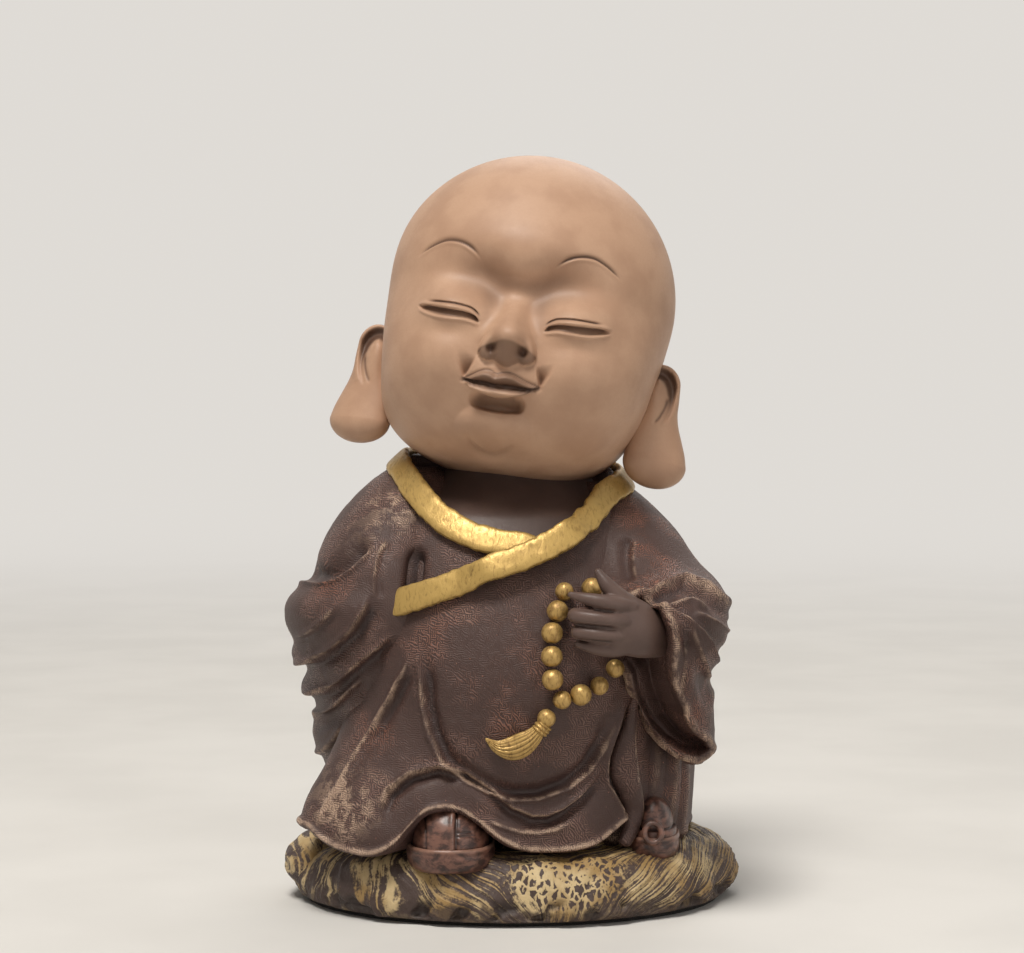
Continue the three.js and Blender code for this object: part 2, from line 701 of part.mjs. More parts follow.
// Turns the rings round where they would make an inside-out body
function facingOut(rings) {
  return solid(bodyFromRings(rings)).volume() > 0 ? rings : rings.map((ring) => [...ring].reverse());
}

// Head

// Distance from the middle of the head to its smooth form, in a given direction
function headRadius(direction) {
  const upper = headHeight * crownShare;
  const lift = headHeight / 2 - upper;
  const centre = new THREE.Vector3(0, 0, lift);
  const down = ease((0 - direction.z) * 1.6);
  const back = ease(direction.y * 1.5);
  const squareness = 2 + (jawSquareness - 2) * down * (1 - 0.6 * back);
  const reach = {
    x: headWidth / 2 - jawNarrowing * down,
    y: headDepth / 2,
    z: direction.z > 0 ? upper : headHeight - upper,
  };
  const share = (key) => Math.abs(direction[key] / reach[key]) ** squareness;
  return centre.addScaledVector(direction, (share('x') + share('y') + share('z')) ** (-1 / squareness));
}

// Distance from a middle in an oval's own measure, which is longer sideways or upwards
function away([middleX, middleZ], x, z, wide, high = 1) {
  return Math.hypot((x - middleX) / wide, (z - middleZ) / high);
}

// How far the face stands out from the smooth head at a place, forward being positive
function faceRelief(x, z) {
  const side = Math.abs(x + faceShift);
  const browBone = browBoneReach * bell(Math.hypot(side / 2.4, z - 10.5), 5.5);
  const lowest = -0.6 + 3 * ease(side / 9);
  const fromLowest = z > lowest ? z - lowest : (lowest - z) * 0.8;
  const valley = -browValleyDepth * bell(fromLowest, 4.6) * (1 - ease((side - 6) / 17));
  const lid = lidReach * bell(away(lidMiddle, side, z, 1.65, 1.05), 4.5);
  const cheek = cheekReach * bell(away(cheekMiddle, side, z, 1.2), 6.6);
  const slit = groove(eyeRoute, side, z, eyeSlitDepth, eyeSlitWidth);
  const brow = groove(browPoints, side, z, browDepth, browWidth);
  return browBone + valley + lid + cheek + slit + brow + noseRelief(side, z) + mouthRelief(x, z);
}

function noseRelief(side, z) {
  const share = side / sectionValue(noseSections, 'half', z);
  const low = ease((-4.5 - z) / 5);
  const bridge = bell(share, 0.62) * (1 - low);
  const tip = Math.max(1 - share ** 2.6, 0) ** 0.9 * low;
  const wing = noseWingReach * bell(away(wingMiddle, side, z, 1, 1.15), 1.6);
  return sectionValue(noseSections, 'reach', z) * (bridge + tip) + wing;
}

function mouthRelief(x, z) {
  const side = Math.abs(x + faceShift);
  const half = mouthWidth / 2;
  const smile = mouthHeight + 0.8 * (side / half) ** 2 - 0.5;
  const inside = ease((half + 0.6 - side) / 2.5);
  const muzzle = muzzleReach * bell(away(muzzleMiddle, x, z, 1.5), 4.6);
  const upperLip = lipReach * 0.7 * inside * bell(z - smile - 1.4, 1.1);
  const lowerLip = lipReach * inside * ease((half * 0.8 - side) / 3) * bell(z - smile + 1.1, 0.9);
  const line = -1.2 * inside * bell(z - smile, 0.5);
  const corner = -1.5 * bell(Math.hypot(side - half - 0.8, z - smile - 0.8), 1.5);
  const underLip = -underLipDepth * bell(away(underLipMiddle, x, z, 3), 1.7);
  const chin = chinReach * Math.max(1 - away(chinMiddle, x, z, 9, 5) ** 2, 0);
  return muzzle + upperLip + lowerLip + line + corner + underLip + chin;
}

function headForm() {
  const columns = 56;
  const rows = 31;
  const facePole = new THREE.Vector3(0, -1, -0.32).normalize();
  const turnToPole = new THREE.Quaternion().setFromUnitVectors(new THREE.Vector3(0, 0, 1), facePole);
  const rings = [];
  for (let row = rows; row >= 1; row -= 1) {
    const share = row / (rows + 1);
    const fromPole = Math.PI * (0.4 * share + 0.6 * share ** 4);
    rings.push(angles(columns).map((angle) => {
      const spread = angle - 0.2 * Math.sin(2 * angle);
      const direction = new THREE.Vector3(
        Math.sin(fromPole) * Math.cos(spread),
        Math.sin(fromPole) * Math.sin(spread),
        Math.cos(fromPole),
      ).applyQuaternion(turnToPole);
      const point = headRadius(direction);
      const facing = ease((-direction.y - 0.25) / 0.35);
      point.y -= facing * faceRelief(point.x, point.z);
      return point;
    }));
  }
  return bodyFromRings(rings);
}

const headPose = new THREE.Matrix4().compose(
  new THREE.Vector3(headOffset, headSetBack, headBottom + headHeight / 2),
  new THREE.Quaternion().setFromEuler(new THREE.Euler(headTilt, headRoll, headTurn, 'YXZ')),
  new THREE.Vector3(1, 1, 1),
);

// Depth of an ear's middle, further back towards its outer edge
const earMiddle = (x) => earSetBack + earSlant * (x - 30);

// Ear with a long hanging lobe; side is -1 for the monk's right and 1 for his left
function earForm(side) {
  const rings = earSections.map(({ z, inner, outer, thick }) => angles(18).map((angle) => {
    const c = Math.cos(angle);
    const s = Math.sin(angle);
    const x = (inner + outer) / 2 + ((outer - inner) / 2) * Math.sign(c) * Math.abs(c) ** 0.86;
    return new THREE.Vector3(side * x, earMiddle(x) + thick * Math.sign(s) * Math.abs(s) ** 0.86, z);
  }));
  const recess = sweep(earRecess.map(([x, z]) => [side * x, earMiddle(x) - 3.2, z]), {
    wide: through([recessRadius, recessRadius, recessRadius * 0.5]),
    thick: through([recessReach, recessReach * 0.9, recessReach * 0.4]),
    across: [1, 0, 0],
    rows: 5,
    columns: 8,
  });
  return without(bodyFromRings(facingOut(rings)), recess);
}

// Base
function baseForm() {
  const wave = (angle) => 1
    + (baseEdgeWave / (baseWidth / 2)) * (Math.sin(5 * angle + 0.7) + 0.6 * Math.sin(11 * angle + 2));
  const ring = (inset, z, waviness) => angles(44).map((angle) => {
    const scale = THREE.MathUtils.lerp(1, wave(angle), waviness);
    return new THREE.Vector3(
      Math.cos(angle) * (baseWidth / 2 - baseEdgeWave - inset) * scale,
      Math.sin(angle) * (baseDepth / 2 - baseEdgeWave - inset * 0.55) * scale,
      z,
    );
  });
  const rise = baseTop - baseLipHeight;
  const dish = bodyFromRings([
    ring(feltInset - 1.4, feltThickness, 0),
    ring(1, feltThickness + 1.3, 1),
    ring(0, baseLipHeight - 1.6, 1),
    ring(0, baseLipHeight, 1),
    ring(baseShoulder * 0.15, baseLipHeight + rise * 0.42, 1),
    ring(baseShoulder * 0.45, baseLipHeight + rise * 0.8, 1),
    ring(baseShoulder, baseTop, 0.6),
  ]);
  const curl = new THREE.SphereGeometry(1, 14, 10);
  curl.scale(curlReach, curlLength, curlHeight / 2);
  curl.translate(-baseWidth / 2 + curlReach, -4, curlHeight / 2 + feltThickness + 0.4);
  return joined(dish, curl);
}

function feltForm() {
  const outline = new THREE.Shape();
  outline.absellipse(0, 0, baseWidth / 2 - feltInset, baseDepth / 2 - feltInset, 0, 2 * Math.PI);
  return new THREE.ExtrudeGeometry(outline, { depth: feltThickness, bevelEnabled: false, curveSegments: 22 });
}

// Shoe sole and upper share one rounded plan; the toe points to the front
function shoeRing({ x, front }, width, length, inset, z) {
  return angles(16).map((angle) => {
    const { x: px, y: py } = outlinePoint({
      midX: x,
      midY: front + length / 2,
      halfX: width / 2 - inset,
      halfY: length / 2 - inset,
    }, angle, 2.5);
    return new THREE.Vector3(px, py, z);
  });
}

function soleForm(place, width, length) {
  const high = baseTop + soleProud;
  const low = high - soleThickness;
  return bodyFromRings([
    shoeRing(place, width, length, 0.6, low),
    shoeRing(place, width, length, 0, low + 0.8),
    shoeRing(place, width, length, 0, high - 0.7),
    shoeRing(place, width, length, 0.6, high),
  ]);
}

function upperForm(place, width, length, height) {
  const low = baseTop + soleProud - 0.4;
  return bodyFromRings([0, 0.3, 0.55, 0.75, 0.9, 0.98].map((share) => {
    const inset = soleRim + (width / 2 - soleRim) * (1 - Math.sqrt(1 - share * share));
    return shoeRing(place, width, length, inset, low + height * share);
  }));
}

// Strap over the top of a shoe, from side to side, at a distance from the toe
function shoeStrap(place, width, length, height, fromToe) {
  const wider = 2 * strapThickness;
  const outer = upperForm(place, width + wider, length + wider, height + strapThickness);
  const slab = new THREE.BoxGeometry(width * 1.5, strapWidth, height * 3);
  slab.translate(place.x, place.front + fromToe, baseTop + height);
  return geometryOf(largest(solid(outer).intersect(solid(slab))));
}

// Ring buckle that lies on the toe of a shoe
function buckleForm(place, height) {
  const ring = new THREE.TorusGeometry(buckleRadius, buckleWire, 7, 18);
  ring.rotateX(Math.PI / 2 - 0.35);
  ring.translate(place.x - 0.4, place.front - 0.2, baseTop + height * 0.48);
  return ring;
}

// Skin of the chest, which shows inside the neckline
function chestForm() {
  const rings = [70, 74, 78, 82, 86, 90, 94].map((z) => angles(28).map((angle) => {
    const { point, normal } = robeFrame(angle, z);
    return point.addScaledVector(normal, -skinRecess);
  }));
  const opening = throughFront(new THREE.Shape(necklineOutline(clearance)), beforeChest, chestBack);
  return geometryOf(largest(solid(bodyFromRings(rings)).intersect(solid(opening))));
}

// Neck, which plugs into the head
function neckForm() {
  return sweep([
    [0, neckSetBack - 3, 66],
    [0, neckSetBack - 1, 82],
    [headOffset * 0.6, neckSetBack, headBottom + neckIntoHead],
  ], {
    wide: through([neckRadius, neckRadius, neckRadius * 0.8]),
    thick: through([neckRadius * 0.9, neckRadius * 0.95, neckRadius * 0.75]),
    across: [1, 0, 0],
    rows: 3,
    columns: 24,
  });
}

// Outline of the robe's opening, under the middle of the collar bands, drawn in by an inset
function necklineOutline(inset) {
  const points = [...overBandRoute.slice(2, 7), ...underBandRoute.slice(1, 7)].map(([angle, z]) => {
    const { x } = robePoint(THREE.MathUtils.degToRad(angle), z);
    return new THREE.Vector2(x, z);
  });
  const top = robeTop + 6;
  const outline = [new THREE.Vector2(points[0].x, top), ...points, new THREE.Vector2(points.at(-1).x, top)];
  const centre = new THREE.Vector2(2, 92);
  return outline.map((p) => p.clone().add(centre.clone().sub(p).setLength(inset)));
}

// Prism of an outline drawn in sideways place and height, running from one depth to another
function throughFront(outline, from, to) {
  const prism = new THREE.ExtrudeGeometry(outline, { depth: to - from, bevelEnabled: false });
  prism.rotateX(Math.PI / 2);
  prism.translate(0, to, 0);
  return prism;
}

// Beads
function beadForm({ x, z, proud, radius }) {
  const bead = new THREE.SphereGeometry(radius, 10, 7);
  const step = 0.5;
  const slopeX = (robeFront(x + step, z) - robeFront(x - step, z)) / (2 * step);
  const slopeZ = (robeFront(x, z + step) - robeFront(x, z - step)) / (2 * step);
  const normal = new THREE.Vector3(slopeX, -1, slopeZ).normalize();
  const centre = new THREE.Vector3(x, robeFront(x, z), z).addScaledVector(normal, radius + clearance + proud);
  bead.translate(centre.x, centre.y, centre.z);
  return bead;
}

function tasselPoints(lift) {
  return tasselRoute.map(([x, z]) => [x, robeFront(x, z) - lift, z]);
}

function tasselForm() {
  return sweep(tasselPoints(tasselRadius * 0.62), {
    wide: through([tasselRadius * 0.6, tasselRadius, tasselRadius * 0.95, tasselRadius * 0.6, 0.35]),
    thick: through([tasselRadius * 0.6, tasselRadius * 0.8, tasselRadius * 0.7, tasselRadius * 0.5, 0.35]),
    across: [0, 0, 1],
    rows: 8,
    columns: 8,
  });
}

function tasselCapForm() {
  const [x, z] = tasselRoute[0];
  const ring = new THREE.TorusGeometry(1.2, 0.75, 6, 12);
  ring.rotateY(Math.PI / 2);
  ring.rotateY(-0.75);
  ring.translate(x + 0.5, robeFront(x, z) - 2.2, z + 0.5);
  return ring;
}

// Hands
function leftHandForm() {
  const upright = [0, 0, 1];
  const palmBody = sweep(palm.route, {
    wide: through(palm.halfHeights),
    thick: through([palmThickness * 0.86, palmThickness, palmThickness, palmThickness * 0.75]),
    across: upright,
    rows: 6,
    columns: 14,
  });
  const fingerBodies = fingers.map(({ route, taper }) => {
    const radius = through([fingerRadius, fingerRadius * 0.95, fingerRadius * taper]);
    return sweep(route, { wide: radius, thick: radius, across: upright, rows: 5, columns: 8 });
  });
  const radius = through([thumbRadius, thumbRadius * 0.75, thumbRadius * 0.58, thumbRadius * 0.31]);
  const thumb = sweep(thumbRoute, { wide: radius, thick: radius, across: upright, rows: 5, columns: 8 });
  return joined(palmBody, thumb, ...fingerBodies);
}

function rightHandForm() {
  const upright = [0, 0, 1];
  const fist = sweep(fistRoute, {
    wide: through([4, 5, 6, 4.6]),
    thick: through([3, 3.6, 4, 3]),
    across: upright,
    rows: 4,
    columns: 10,
  });
  const closed = [0, 1, 2, 3].map((k) => {
    const route = topFistFinger.map(([x, y, z]) => [x, y, z - k * fistFingerPitch]);
    const radius = () => fistFingerRadius;
    return sweep(route, { wide: radius, thick: radius, across: upright, rows: 2, columns: 6 });
  });
  return joined(fist, ...closed);
}

// Folds on a sleeve: routed ones at the front, and even ones round its back that fade towards their top
function sleeveFolds(folds, low, backTop) {
  return (point, angle) => {
    const facing = ease((0.15 - Math.sin(angle)) / 0.3);
    const front = foldsRelief(folds, point.x, point.z) - armpitPocket(point.x, point.z);
    const phase = (Math.PI * (point.z + 0.42 * (point.y - 4))) / sleeveBackPitch;
    const fadeOut = ease((backTop - point.z) / 16) * ease((point.z - low) / 4);
    const back = sleeveBackFold * (Math.abs(Math.sin(phase)) ** 0.9 - 0.55) * fadeOut;
    const height = facing * front + (1 - facing) * back;
    return new THREE.Vector3(point.x + Math.cos(angle) * height, point.y + Math.sin(angle) * height, point.z);
  };
}

// The free edge of the front skirt, turned over towards the front
function flapForm() {
  return sweep(flapRoute.map(([x, z]) => [x, robeFront(x, z) - 0.4, z]), {
    wide: through([0.8, 1.6, 3, 2.7, 2.2, 1.5]),
    thick: through([0.9, 1.5, 1.6, 1.6, 1.5, 1.1]),
    across: [1, 0, 0],
    rows: 12,
    columns: 10,
  });
}

// Put together, from the base upwards; each piece is cut clear of the forms that it rests against
const headWhole = headForm().applyMatrix4(headPose);
const [rightEar, leftEar] = [-1, 1].map((side) => earForm(side).applyMatrix4(headPose));
const rightSoleForm = soleForm(rightShoePlace, rightShoeWidth, rightShoeLength);
const leftSoleForm = soleForm(leftShoePlace, leftShoeWidth, leftShoeLength);
const rightUpperForm = upperForm(rightShoePlace, rightShoeWidth, rightShoeLength, rightShoeHeight);
const leftUpperForm = upperForm(leftShoePlace, leftShoeWidth, leftShoeLength, leftShoeHeight);
const baseWhole = baseForm();
const base = seated(baseWhole, rightSoleForm, leftSoleForm);
const leftStrapForm = shoeStrap(leftShoePlace, leftShoeWidth, leftShoeLength, leftShoeHeight,
  leftStrapFromToe);
const buckle = seated(buckleForm(leftShoePlace, leftShoeHeight), leftUpperForm, leftStrapForm, leftSoleForm);
const rightStrapForm = shoeStrap(rightShoePlace, rightShoeWidth, rightShoeLength, rightShoeHeight,
  rightStrapFromToe);
const robeWhole = robeForm();
const skirtForm = loft(skirtSections, { rows: 6, columns: 24 });
const flapWhole = flapForm();
const rightSleeveForm = loft(rightSleeveSections, {
  rows: 30,
  columns: 32,
  shape: sleeveFolds(rightSleeveFolds, rightSleeveSections[0].z, 82),
});
const leftSleeveForm = loft(leftSleeveSections, {
  rows: 25,
  columns: 30,
  shape: sleeveFolds(leftSleeveFolds, leftSleeveSections[0].z, 78),
});
const sleeveMouth = loft(sleeveMouthSections, { rows: 7, columns: 14 });
const cuffHollow = loft(cuffSections, { rows: 4, columns: 12 });
const overBandForm = collarBand(overBandRoute, overCrossing);
const underBandForm = collarBand(underBandRoute);
const beads = beadPlaces.map(beadForm);
const neckColumn = neckForm();
const neck = joined(neckColumn, seated(chestForm(), headWhole));
const neckline = throughFront(new THREE.Shape(necklineOutline(0)), beforeChest, chestBack + clearance);

const leftStrap = seated(leftStrapForm, leftUpperForm, leftSoleForm, baseWhole);
const rightUpper = seated(rightUpperForm, rightSoleForm);
const leftUpper = seated(leftUpperForm, leftSoleForm);
const rightStrap = seated(rightStrapForm, rightUpperForm, rightSoleForm, baseWhole);
const robe = seated(
  without(
    robeWhole,
    neckline,
    archForm(rightArch, beforeChest, rightShoePlace.front + archBehind),
    archForm(leftArch, beforeChest, leftShoePlace.front + archBehind),
  ),
  neckColumn,
  headWhole,
  rightSoleForm,
  rightUpperForm,
  rightStrapForm,
  leftSoleForm,
  leftUpperForm,
  leftStrapForm,
);
const head = seated(headWhole, neckColumn);
const skirt = seated(skirtForm, robeWhole, leftSoleForm, leftStrapForm, leftUpperForm, baseWhole);
const flap = seated(flapWhole, robeWhole, skirtForm, leftSoleForm, leftStrapForm, leftUpperForm, baseWhole);
const rightSleeveShell = without(rightSleeveForm, cuffHollow);
const rightSleeve = seated(rightSleeveShell, robeWhole, overBandForm, underBandForm);
const rightHand = seated(rightHandForm(), robeWhole, rightSleeveShell);
const leftSleeveShell = without(leftSleeveForm, sleeveMouth);
const leftSleeve = seated(
  leftSleeveShell,
  robeWhole,
  skirtForm,
  flapWhole,
  overBandForm,
  underBandForm,
  ...beads,
);
const overBand = seated(overBandForm, robeWhole, headWhole);
const underBand = seated(underBandForm, robeWhole, overBandForm, headWhole);
const tasselBead = beadForm(tasselBeadPlace);
const tasselCap = seated(tasselCapForm(), robeWhole, tasselBead);
const tassel = seated(tasselForm(), robeWhole, tasselCapForm(), tasselBead);
const leftHand = seated(leftHandForm(), robeWhole, leftSleeveShell, ...beads);

// Materials
function material(color, roughness, metalness = 0) {
  return new THREE.MeshStandardMaterial({ color, roughness, metalness });
}
const feltBlack = material(0x1d1a18, 0.95);
const earth = material(0x8a6a35, 0.8);
const robeBrown = material(0x4a2f2a, 0.6);
const skin = material(0x8d7468, 0.7);
const darkSkin = material(0x4a3833, 0.7);
const gold = material(0xa88535, 0.4, 0.8);
const shoeBrown = material(0x5a3427, 0.5);

const figurine = new THREE.Group();
function add(name, geometry, finish) {
  const mesh = new THREE.Mesh(geometry.translate(0, centring, 0), finish);
  mesh.name = name;
  figurine.add(mesh);
}

add('felt_pad', feltForm(), feltBlack);
add('base_mound', base, earth);
add('right_shoe_sole', rightSoleForm, shoeBrown);
add('right_shoe_upper', rightUpper, shoeBrown);
add('right_shoe_strap', rightStrap, shoeBrown);
add('left_shoe_sole', leftSoleForm, shoeBrown);
add('left_shoe_upper', leftUpper, shoeBrown);
add('left_shoe_strap', leftStrap, shoeBrown);
add('left_shoe_buckle', buckle, shoeBrown);
add('robe_body', robe, robeBrown);
add('inner_skirt', skirt, robeBrown);
add('robe_front_flap', flap, robeBrown);
add('right_sleeve', rightSleeve, robeBrown);
add('left_sleeve', leftSleeve, robeBrown);
add('collar_under_band', underBand, gold);
add('collar_over_band', overBand, gold);
add('neck_and_chest', neck, darkSkin);
add('head', head, skin);
add('right_ear', seated(rightEar, headWhole, underBandForm, rightSleeveForm), skin);
add('left_ear', seated(leftEar, headWhole, underBandForm, overBandForm, leftSleeveForm), skin);
add('left_hand', leftHand, darkSkin);
add('right_hand', rightHand, darkSkin);
beads.forEach((bead, k) => add(`bead_${String(k + 1).padStart(2, '0')}`, bead, gold));
add('tassel_bead', tasselBead, gold);
add('tassel_cap', tasselCap, gold);
add('tassel', tassel, gold);

export default figurine;
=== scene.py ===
"""Looks of the monk figurine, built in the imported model's frame.

Shapes are worked out in millimetres with numpy, and turned into meshes in metres. Left and right are the
monk's own; the monk faces -Y.
"""
import math

import bpy
import numpy as np
from mathutils import Euler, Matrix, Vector


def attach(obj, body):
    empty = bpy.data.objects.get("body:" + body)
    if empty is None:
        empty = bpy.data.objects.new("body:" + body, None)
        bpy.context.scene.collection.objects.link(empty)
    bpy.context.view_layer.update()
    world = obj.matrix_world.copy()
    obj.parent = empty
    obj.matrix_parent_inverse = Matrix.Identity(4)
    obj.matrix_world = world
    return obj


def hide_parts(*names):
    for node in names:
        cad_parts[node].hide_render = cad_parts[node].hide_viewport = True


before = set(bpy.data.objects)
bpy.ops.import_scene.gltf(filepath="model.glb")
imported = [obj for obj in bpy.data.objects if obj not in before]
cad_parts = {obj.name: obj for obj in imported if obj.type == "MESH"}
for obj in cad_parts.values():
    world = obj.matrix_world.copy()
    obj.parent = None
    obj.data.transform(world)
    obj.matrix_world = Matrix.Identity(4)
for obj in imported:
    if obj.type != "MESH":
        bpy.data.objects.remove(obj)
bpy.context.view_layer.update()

MM = 0.001
CENTRING = 2.2

# Numbers and curves


def ease(t):
    t = np.clip(t, 0, 1)
    return t * t * (3 - 2 * t)


def bell(distance, width):
    return np.exp(-(distance / width) ** 2)


def spot(x, z, at_x, at_z, width, wide=1, high=1):
    """Bell of height 1 about a place, drawn out sideways or upwards."""
    return bell(np.hypot((x - at_x) / wide, (z - at_z) / high), width)


def window(x, start, end, rise, fall):
    """1 between two places and 0 outside them, with soft ends."""
    return ease((x - start) / rise) * ease((end - x) / fall)


def strip(x, low, high, soft_low, soft_high):
    """1 between two edges, each of which lies in the middle of its soft step."""
    return ease((x - low) / soft_low + 0.5) * ease((high - x) / soft_high + 0.5)


def faded(share, steep):
    """1 along a route, with soft ends."""
    return ease(steep * share) * ease(steep - steep * share)


def unit(vectors):
    return vectors / np.linalg.norm(vectors, axis=-1, keepdims=True)


def curve(points):
    """Smooth function through (x, y) points, with flat ends beyond them."""
    xs, ys = np.array(points, float).T
    slopes = np.gradient(ys, xs)

    def value(x):
        x = np.clip(x, xs[0], xs[-1])
        k = np.clip(np.searchsorted(xs, x, side="right") - 1, 0, len(xs) - 2)
        span = xs[k + 1] - xs[k]
        t = (x - xs[k]) / span
        rise = ys[k + 1] - ys[k]
        return (ys[k] + rise * (3 * t * t - 2 * t ** 3)
                + span * (slopes[k] * (t - 2 * t * t + t ** 3) + slopes[k + 1] * (t ** 3 - t * t)))

    return value


def lengths(points):
    """Way along a line of points to each of them."""
    return np.concatenate([[0], np.cumsum(np.linalg.norm(np.diff(points, axis=0), axis=1))])


def spline(points, count):
    """Points of a smooth curve through the given ones, evenly spread along it."""
    points = np.array(points, float)
    steps = lengths(points)
    columns = [curve(np.column_stack([steps, column])) for column in points.T]
    dense = np.column_stack([column(np.linspace(0, steps[-1], 400)) for column in columns])
    ways = lengths(dense)
    places = np.linspace(0, ways[-1], count)
    return np.column_stack([np.interp(places, ways, column) for column in dense.T])


def near_route(route, x, z):
    """Distance to a route of (x, z) points, share of the route there, and distance with its side's sign."""
    best = np.full(np.shape(x), np.inf)
    share = np.zeros(np.shape(x))
    side = np.ones(np.shape(x))
    count = len(route) - 1
    for k in range(count):
        (ax, az), (bx, bz) = route[k], route[k + 1]
        dx, dz = bx - ax, bz - az
        t = np.clip(((x - ax) * dx + (z - az) * dz) / (dx * dx + dz * dz), 0, 1)
        ox, oz = x - ax - t * dx, z - az - t * dz
        distance = np.hypot(ox, oz)
        closer = distance < best
        best = np.where(closer, distance, best)
        share = np.where(closer, (k + t) / count, share)
        side = np.where(closer, np.where(dx * oz - dz * ox >= 0, 1.0, -1.0), side)
    return best, share, best * side


def inside_route(outline, x, z):
    """Distance inwards from a closed outline of (x, z) points, negative outside."""
    closed = list(outline) + [outline[0]]
    distance, _, _ = near_route(closed, x, z)
    within = np.zeros(np.shape(x), bool)
    for (ax, az), (bx, bz) in zip(closed[:-1], closed[1:]):
        crosses = (az > z) != (bz > z)
        with np.errstate(divide="ignore", invalid="ignore"):
            place = ax + (z - az) * (bx - ax) / (bz - az)
        within ^= crosses & (x < place)
    return np.where(within, distance, -distance)


RANDOM = np.random.RandomState(11)
SHUFFLE = np.concatenate([RANDOM.permutation(256)] * 2)
GRADIENTS = unit(RANDOM.normal(size=(256, 3)))


def noise(places, size):
    """Smooth noise between about -1 and 1 at places in millimetres, with features of the given size."""
    p = np.asarray(places, float) / size
    cell = np.floor(p).astype(int)
    part = p - cell
    fade = part ** 3 * (part * (part * 6 - 15) + 10)
    total = 0
    for corner in np.ndindex(2, 2, 2):
        at = (cell + corner) & 255
        pick = SHUFFLE[SHUFFLE[SHUFFLE[at[..., 0]] + at[..., 1]] + at[..., 2]]
        weight = np.prod(np.where(corner, fade, 1 - fade), axis=-1)
        total = total + weight * np.sum(GRADIENTS[pick] * (part - corner), axis=-1)
    return 1.7 * total


def rough(places, size, layers):
    """Noise with finer and finer layers."""
    return sum(noise(places + 17.3 * k, size / 2 ** k) / 2 ** k for k in range(layers)) / 1.6


# Circles and grids


def full_turn(count):
    return np.linspace(0, 2 * np.pi, count, endpoint=False)


def squared(wave, power):
    """Cosine or sine of an angle, pushed outwards so that its circle nears a square."""
    return np.sign(wave) * np.abs(wave) ** power


def circle(turn, side, other, wide=1.0, thick=1.0):
    """Points round an oval that lies along two directions."""
    return wide * np.cos(turn)[:, None] * side + thick * np.sin(turn)[:, None] * other


def polar_steps(rows):
    """Angles from one pole to the other, without the poles."""
    return np.pi * (np.arange(rows) + 1) / (rows + 1)


def sphere(polar, turn, axis, side):
    """Unit directions at angles from an axis and turned about it."""
    about = circle(turn, side, np.cross(axis, side))
    return np.cos(polar)[:, None, None] * axis + np.sin(polar)[:, None, None] * about


def turn_grid(columns, heights):
    """Angles and heights of a grid, rows by columns."""
    return np.broadcast_arrays(full_turn(columns)[None, :], heights[:, None])


# Meshes


def new_object(name, data):
    obj = bpy.data.objects.new(name, data)
    bpy.context.scene.collection.objects.link(obj)
    return obj


def new_mesh(name, verts, faces):
    mesh = bpy.data.meshes.new(name)
    mesh.from_pydata(verts, [], faces)
    mesh.polygons.foreach_set("use_smooth", np.ones(len(mesh.polygons), bool))
    return mesh


def looking_out(verts, faces):
    return [face[::-1] for face in faces] if volume(verts, faces) < 0 else faces


def make_object(name, verts, faces, values):
    """Mesh object from millimetre points, with named values per point for the materials."""
    mesh = new_mesh(name, ((verts + (0, CENTRING, 0)) * MM).tolist(), looking_out(verts, faces))
    for key, column in values.items():
        layer = mesh.attributes.new(key, "FLOAT", "POINT")
        layer.data.foreach_set("value", np.asarray(column, np.float32).ravel())
    return new_object(name, mesh)


def volume(verts, faces):
    first = np.array([face[:3] for face in faces])
    a, b, c = (verts[first[:, k]] for k in range(3))
    total = np.einsum("ij,ij->", a, np.cross(b, c))
    quads = np.array([face for face in faces if len(face) == 4])
    if len(quads):
        a, b, c = (verts[quads[:, k]] for k in (0, 2, 3))
        total += np.einsum("ij,ij->", a, np.cross(b, c))
    return total


def rings_faces(rows, columns):
    """Faces of stacked rings of points, closed at both ends by fans to two more points."""
    i = np.arange(columns)
    n = (i + 1) % columns
    last = (rows - 1) * columns
    faces = []
    for low in range(0, last, columns):
        high = low + columns
        faces += np.column_stack([low + i, low + n, high + n, high + i]).tolist()
    faces += np.column_stack([np.full(columns, rows * columns), n, i]).tolist()
    faces += np.column_stack([np.full(columns, rows * columns + 1), last + i, last + n]).tolist()
    return faces


def with_ends(grid):
    """Points or values of stacked rings in one list, with the means of both end rings behind them."""
    return np.concatenate([grid.reshape(-1, *grid.shape[2:]), grid[[0, -1]].mean(axis=1)])


def ring_body(name, rings, values):
    """Closed body from an array of rings, rows by columns by 3."""
    rows, columns = rings.shape[:2]
    full = {key: with_ends(np.broadcast_to(grid, (rows, columns))) for key, grid in values.items()}
    return make_object(name, with_ends(rings), rings_faces(rows, columns), full)


def surface_normals(grid):
    """Unit normals of stacked rings of points, pointing away from their middle."""
    along = (np.roll(grid, -1, axis=1) - np.roll(grid, 1, axis=1)) / 2
    normal = np.cross(along, np.gradient(grid, axis=0))
    normal /= np.linalg.norm(normal, axis=-1, keepdims=True) + 1e-12
    outwards = np.sum(normal * (grid - grid.mean(axis=(0, 1))), axis=-1).mean()
    return normal if outwards > 0 else -normal


def blurred(grid, passes, wrap=True):
    """Grid of values smoothed over its neighbours."""
    for _ in range(passes):
        if wrap:
            grid = (np.roll(grid, 1, axis=1) + 2 * grid + np.roll(grid, -1, axis=1)) / 4
        padded = np.concatenate([grid[:1], grid, grid[-1:]])
        grid = (padded[:-2] + 2 * padded[1:-1] + padded[2:]) / 4
    return grid


def from_middle(rings):
    """Unit directions from each ring's middle to its points."""
    return unit(rings - rings.mean(axis=1, keepdims=True))


def pushed(points, normal, offset):
    return points + normal * offset[..., None]


def uneven(points, normal, height, size):
    return pushed(points, normal, height * rough(points, size, 3))


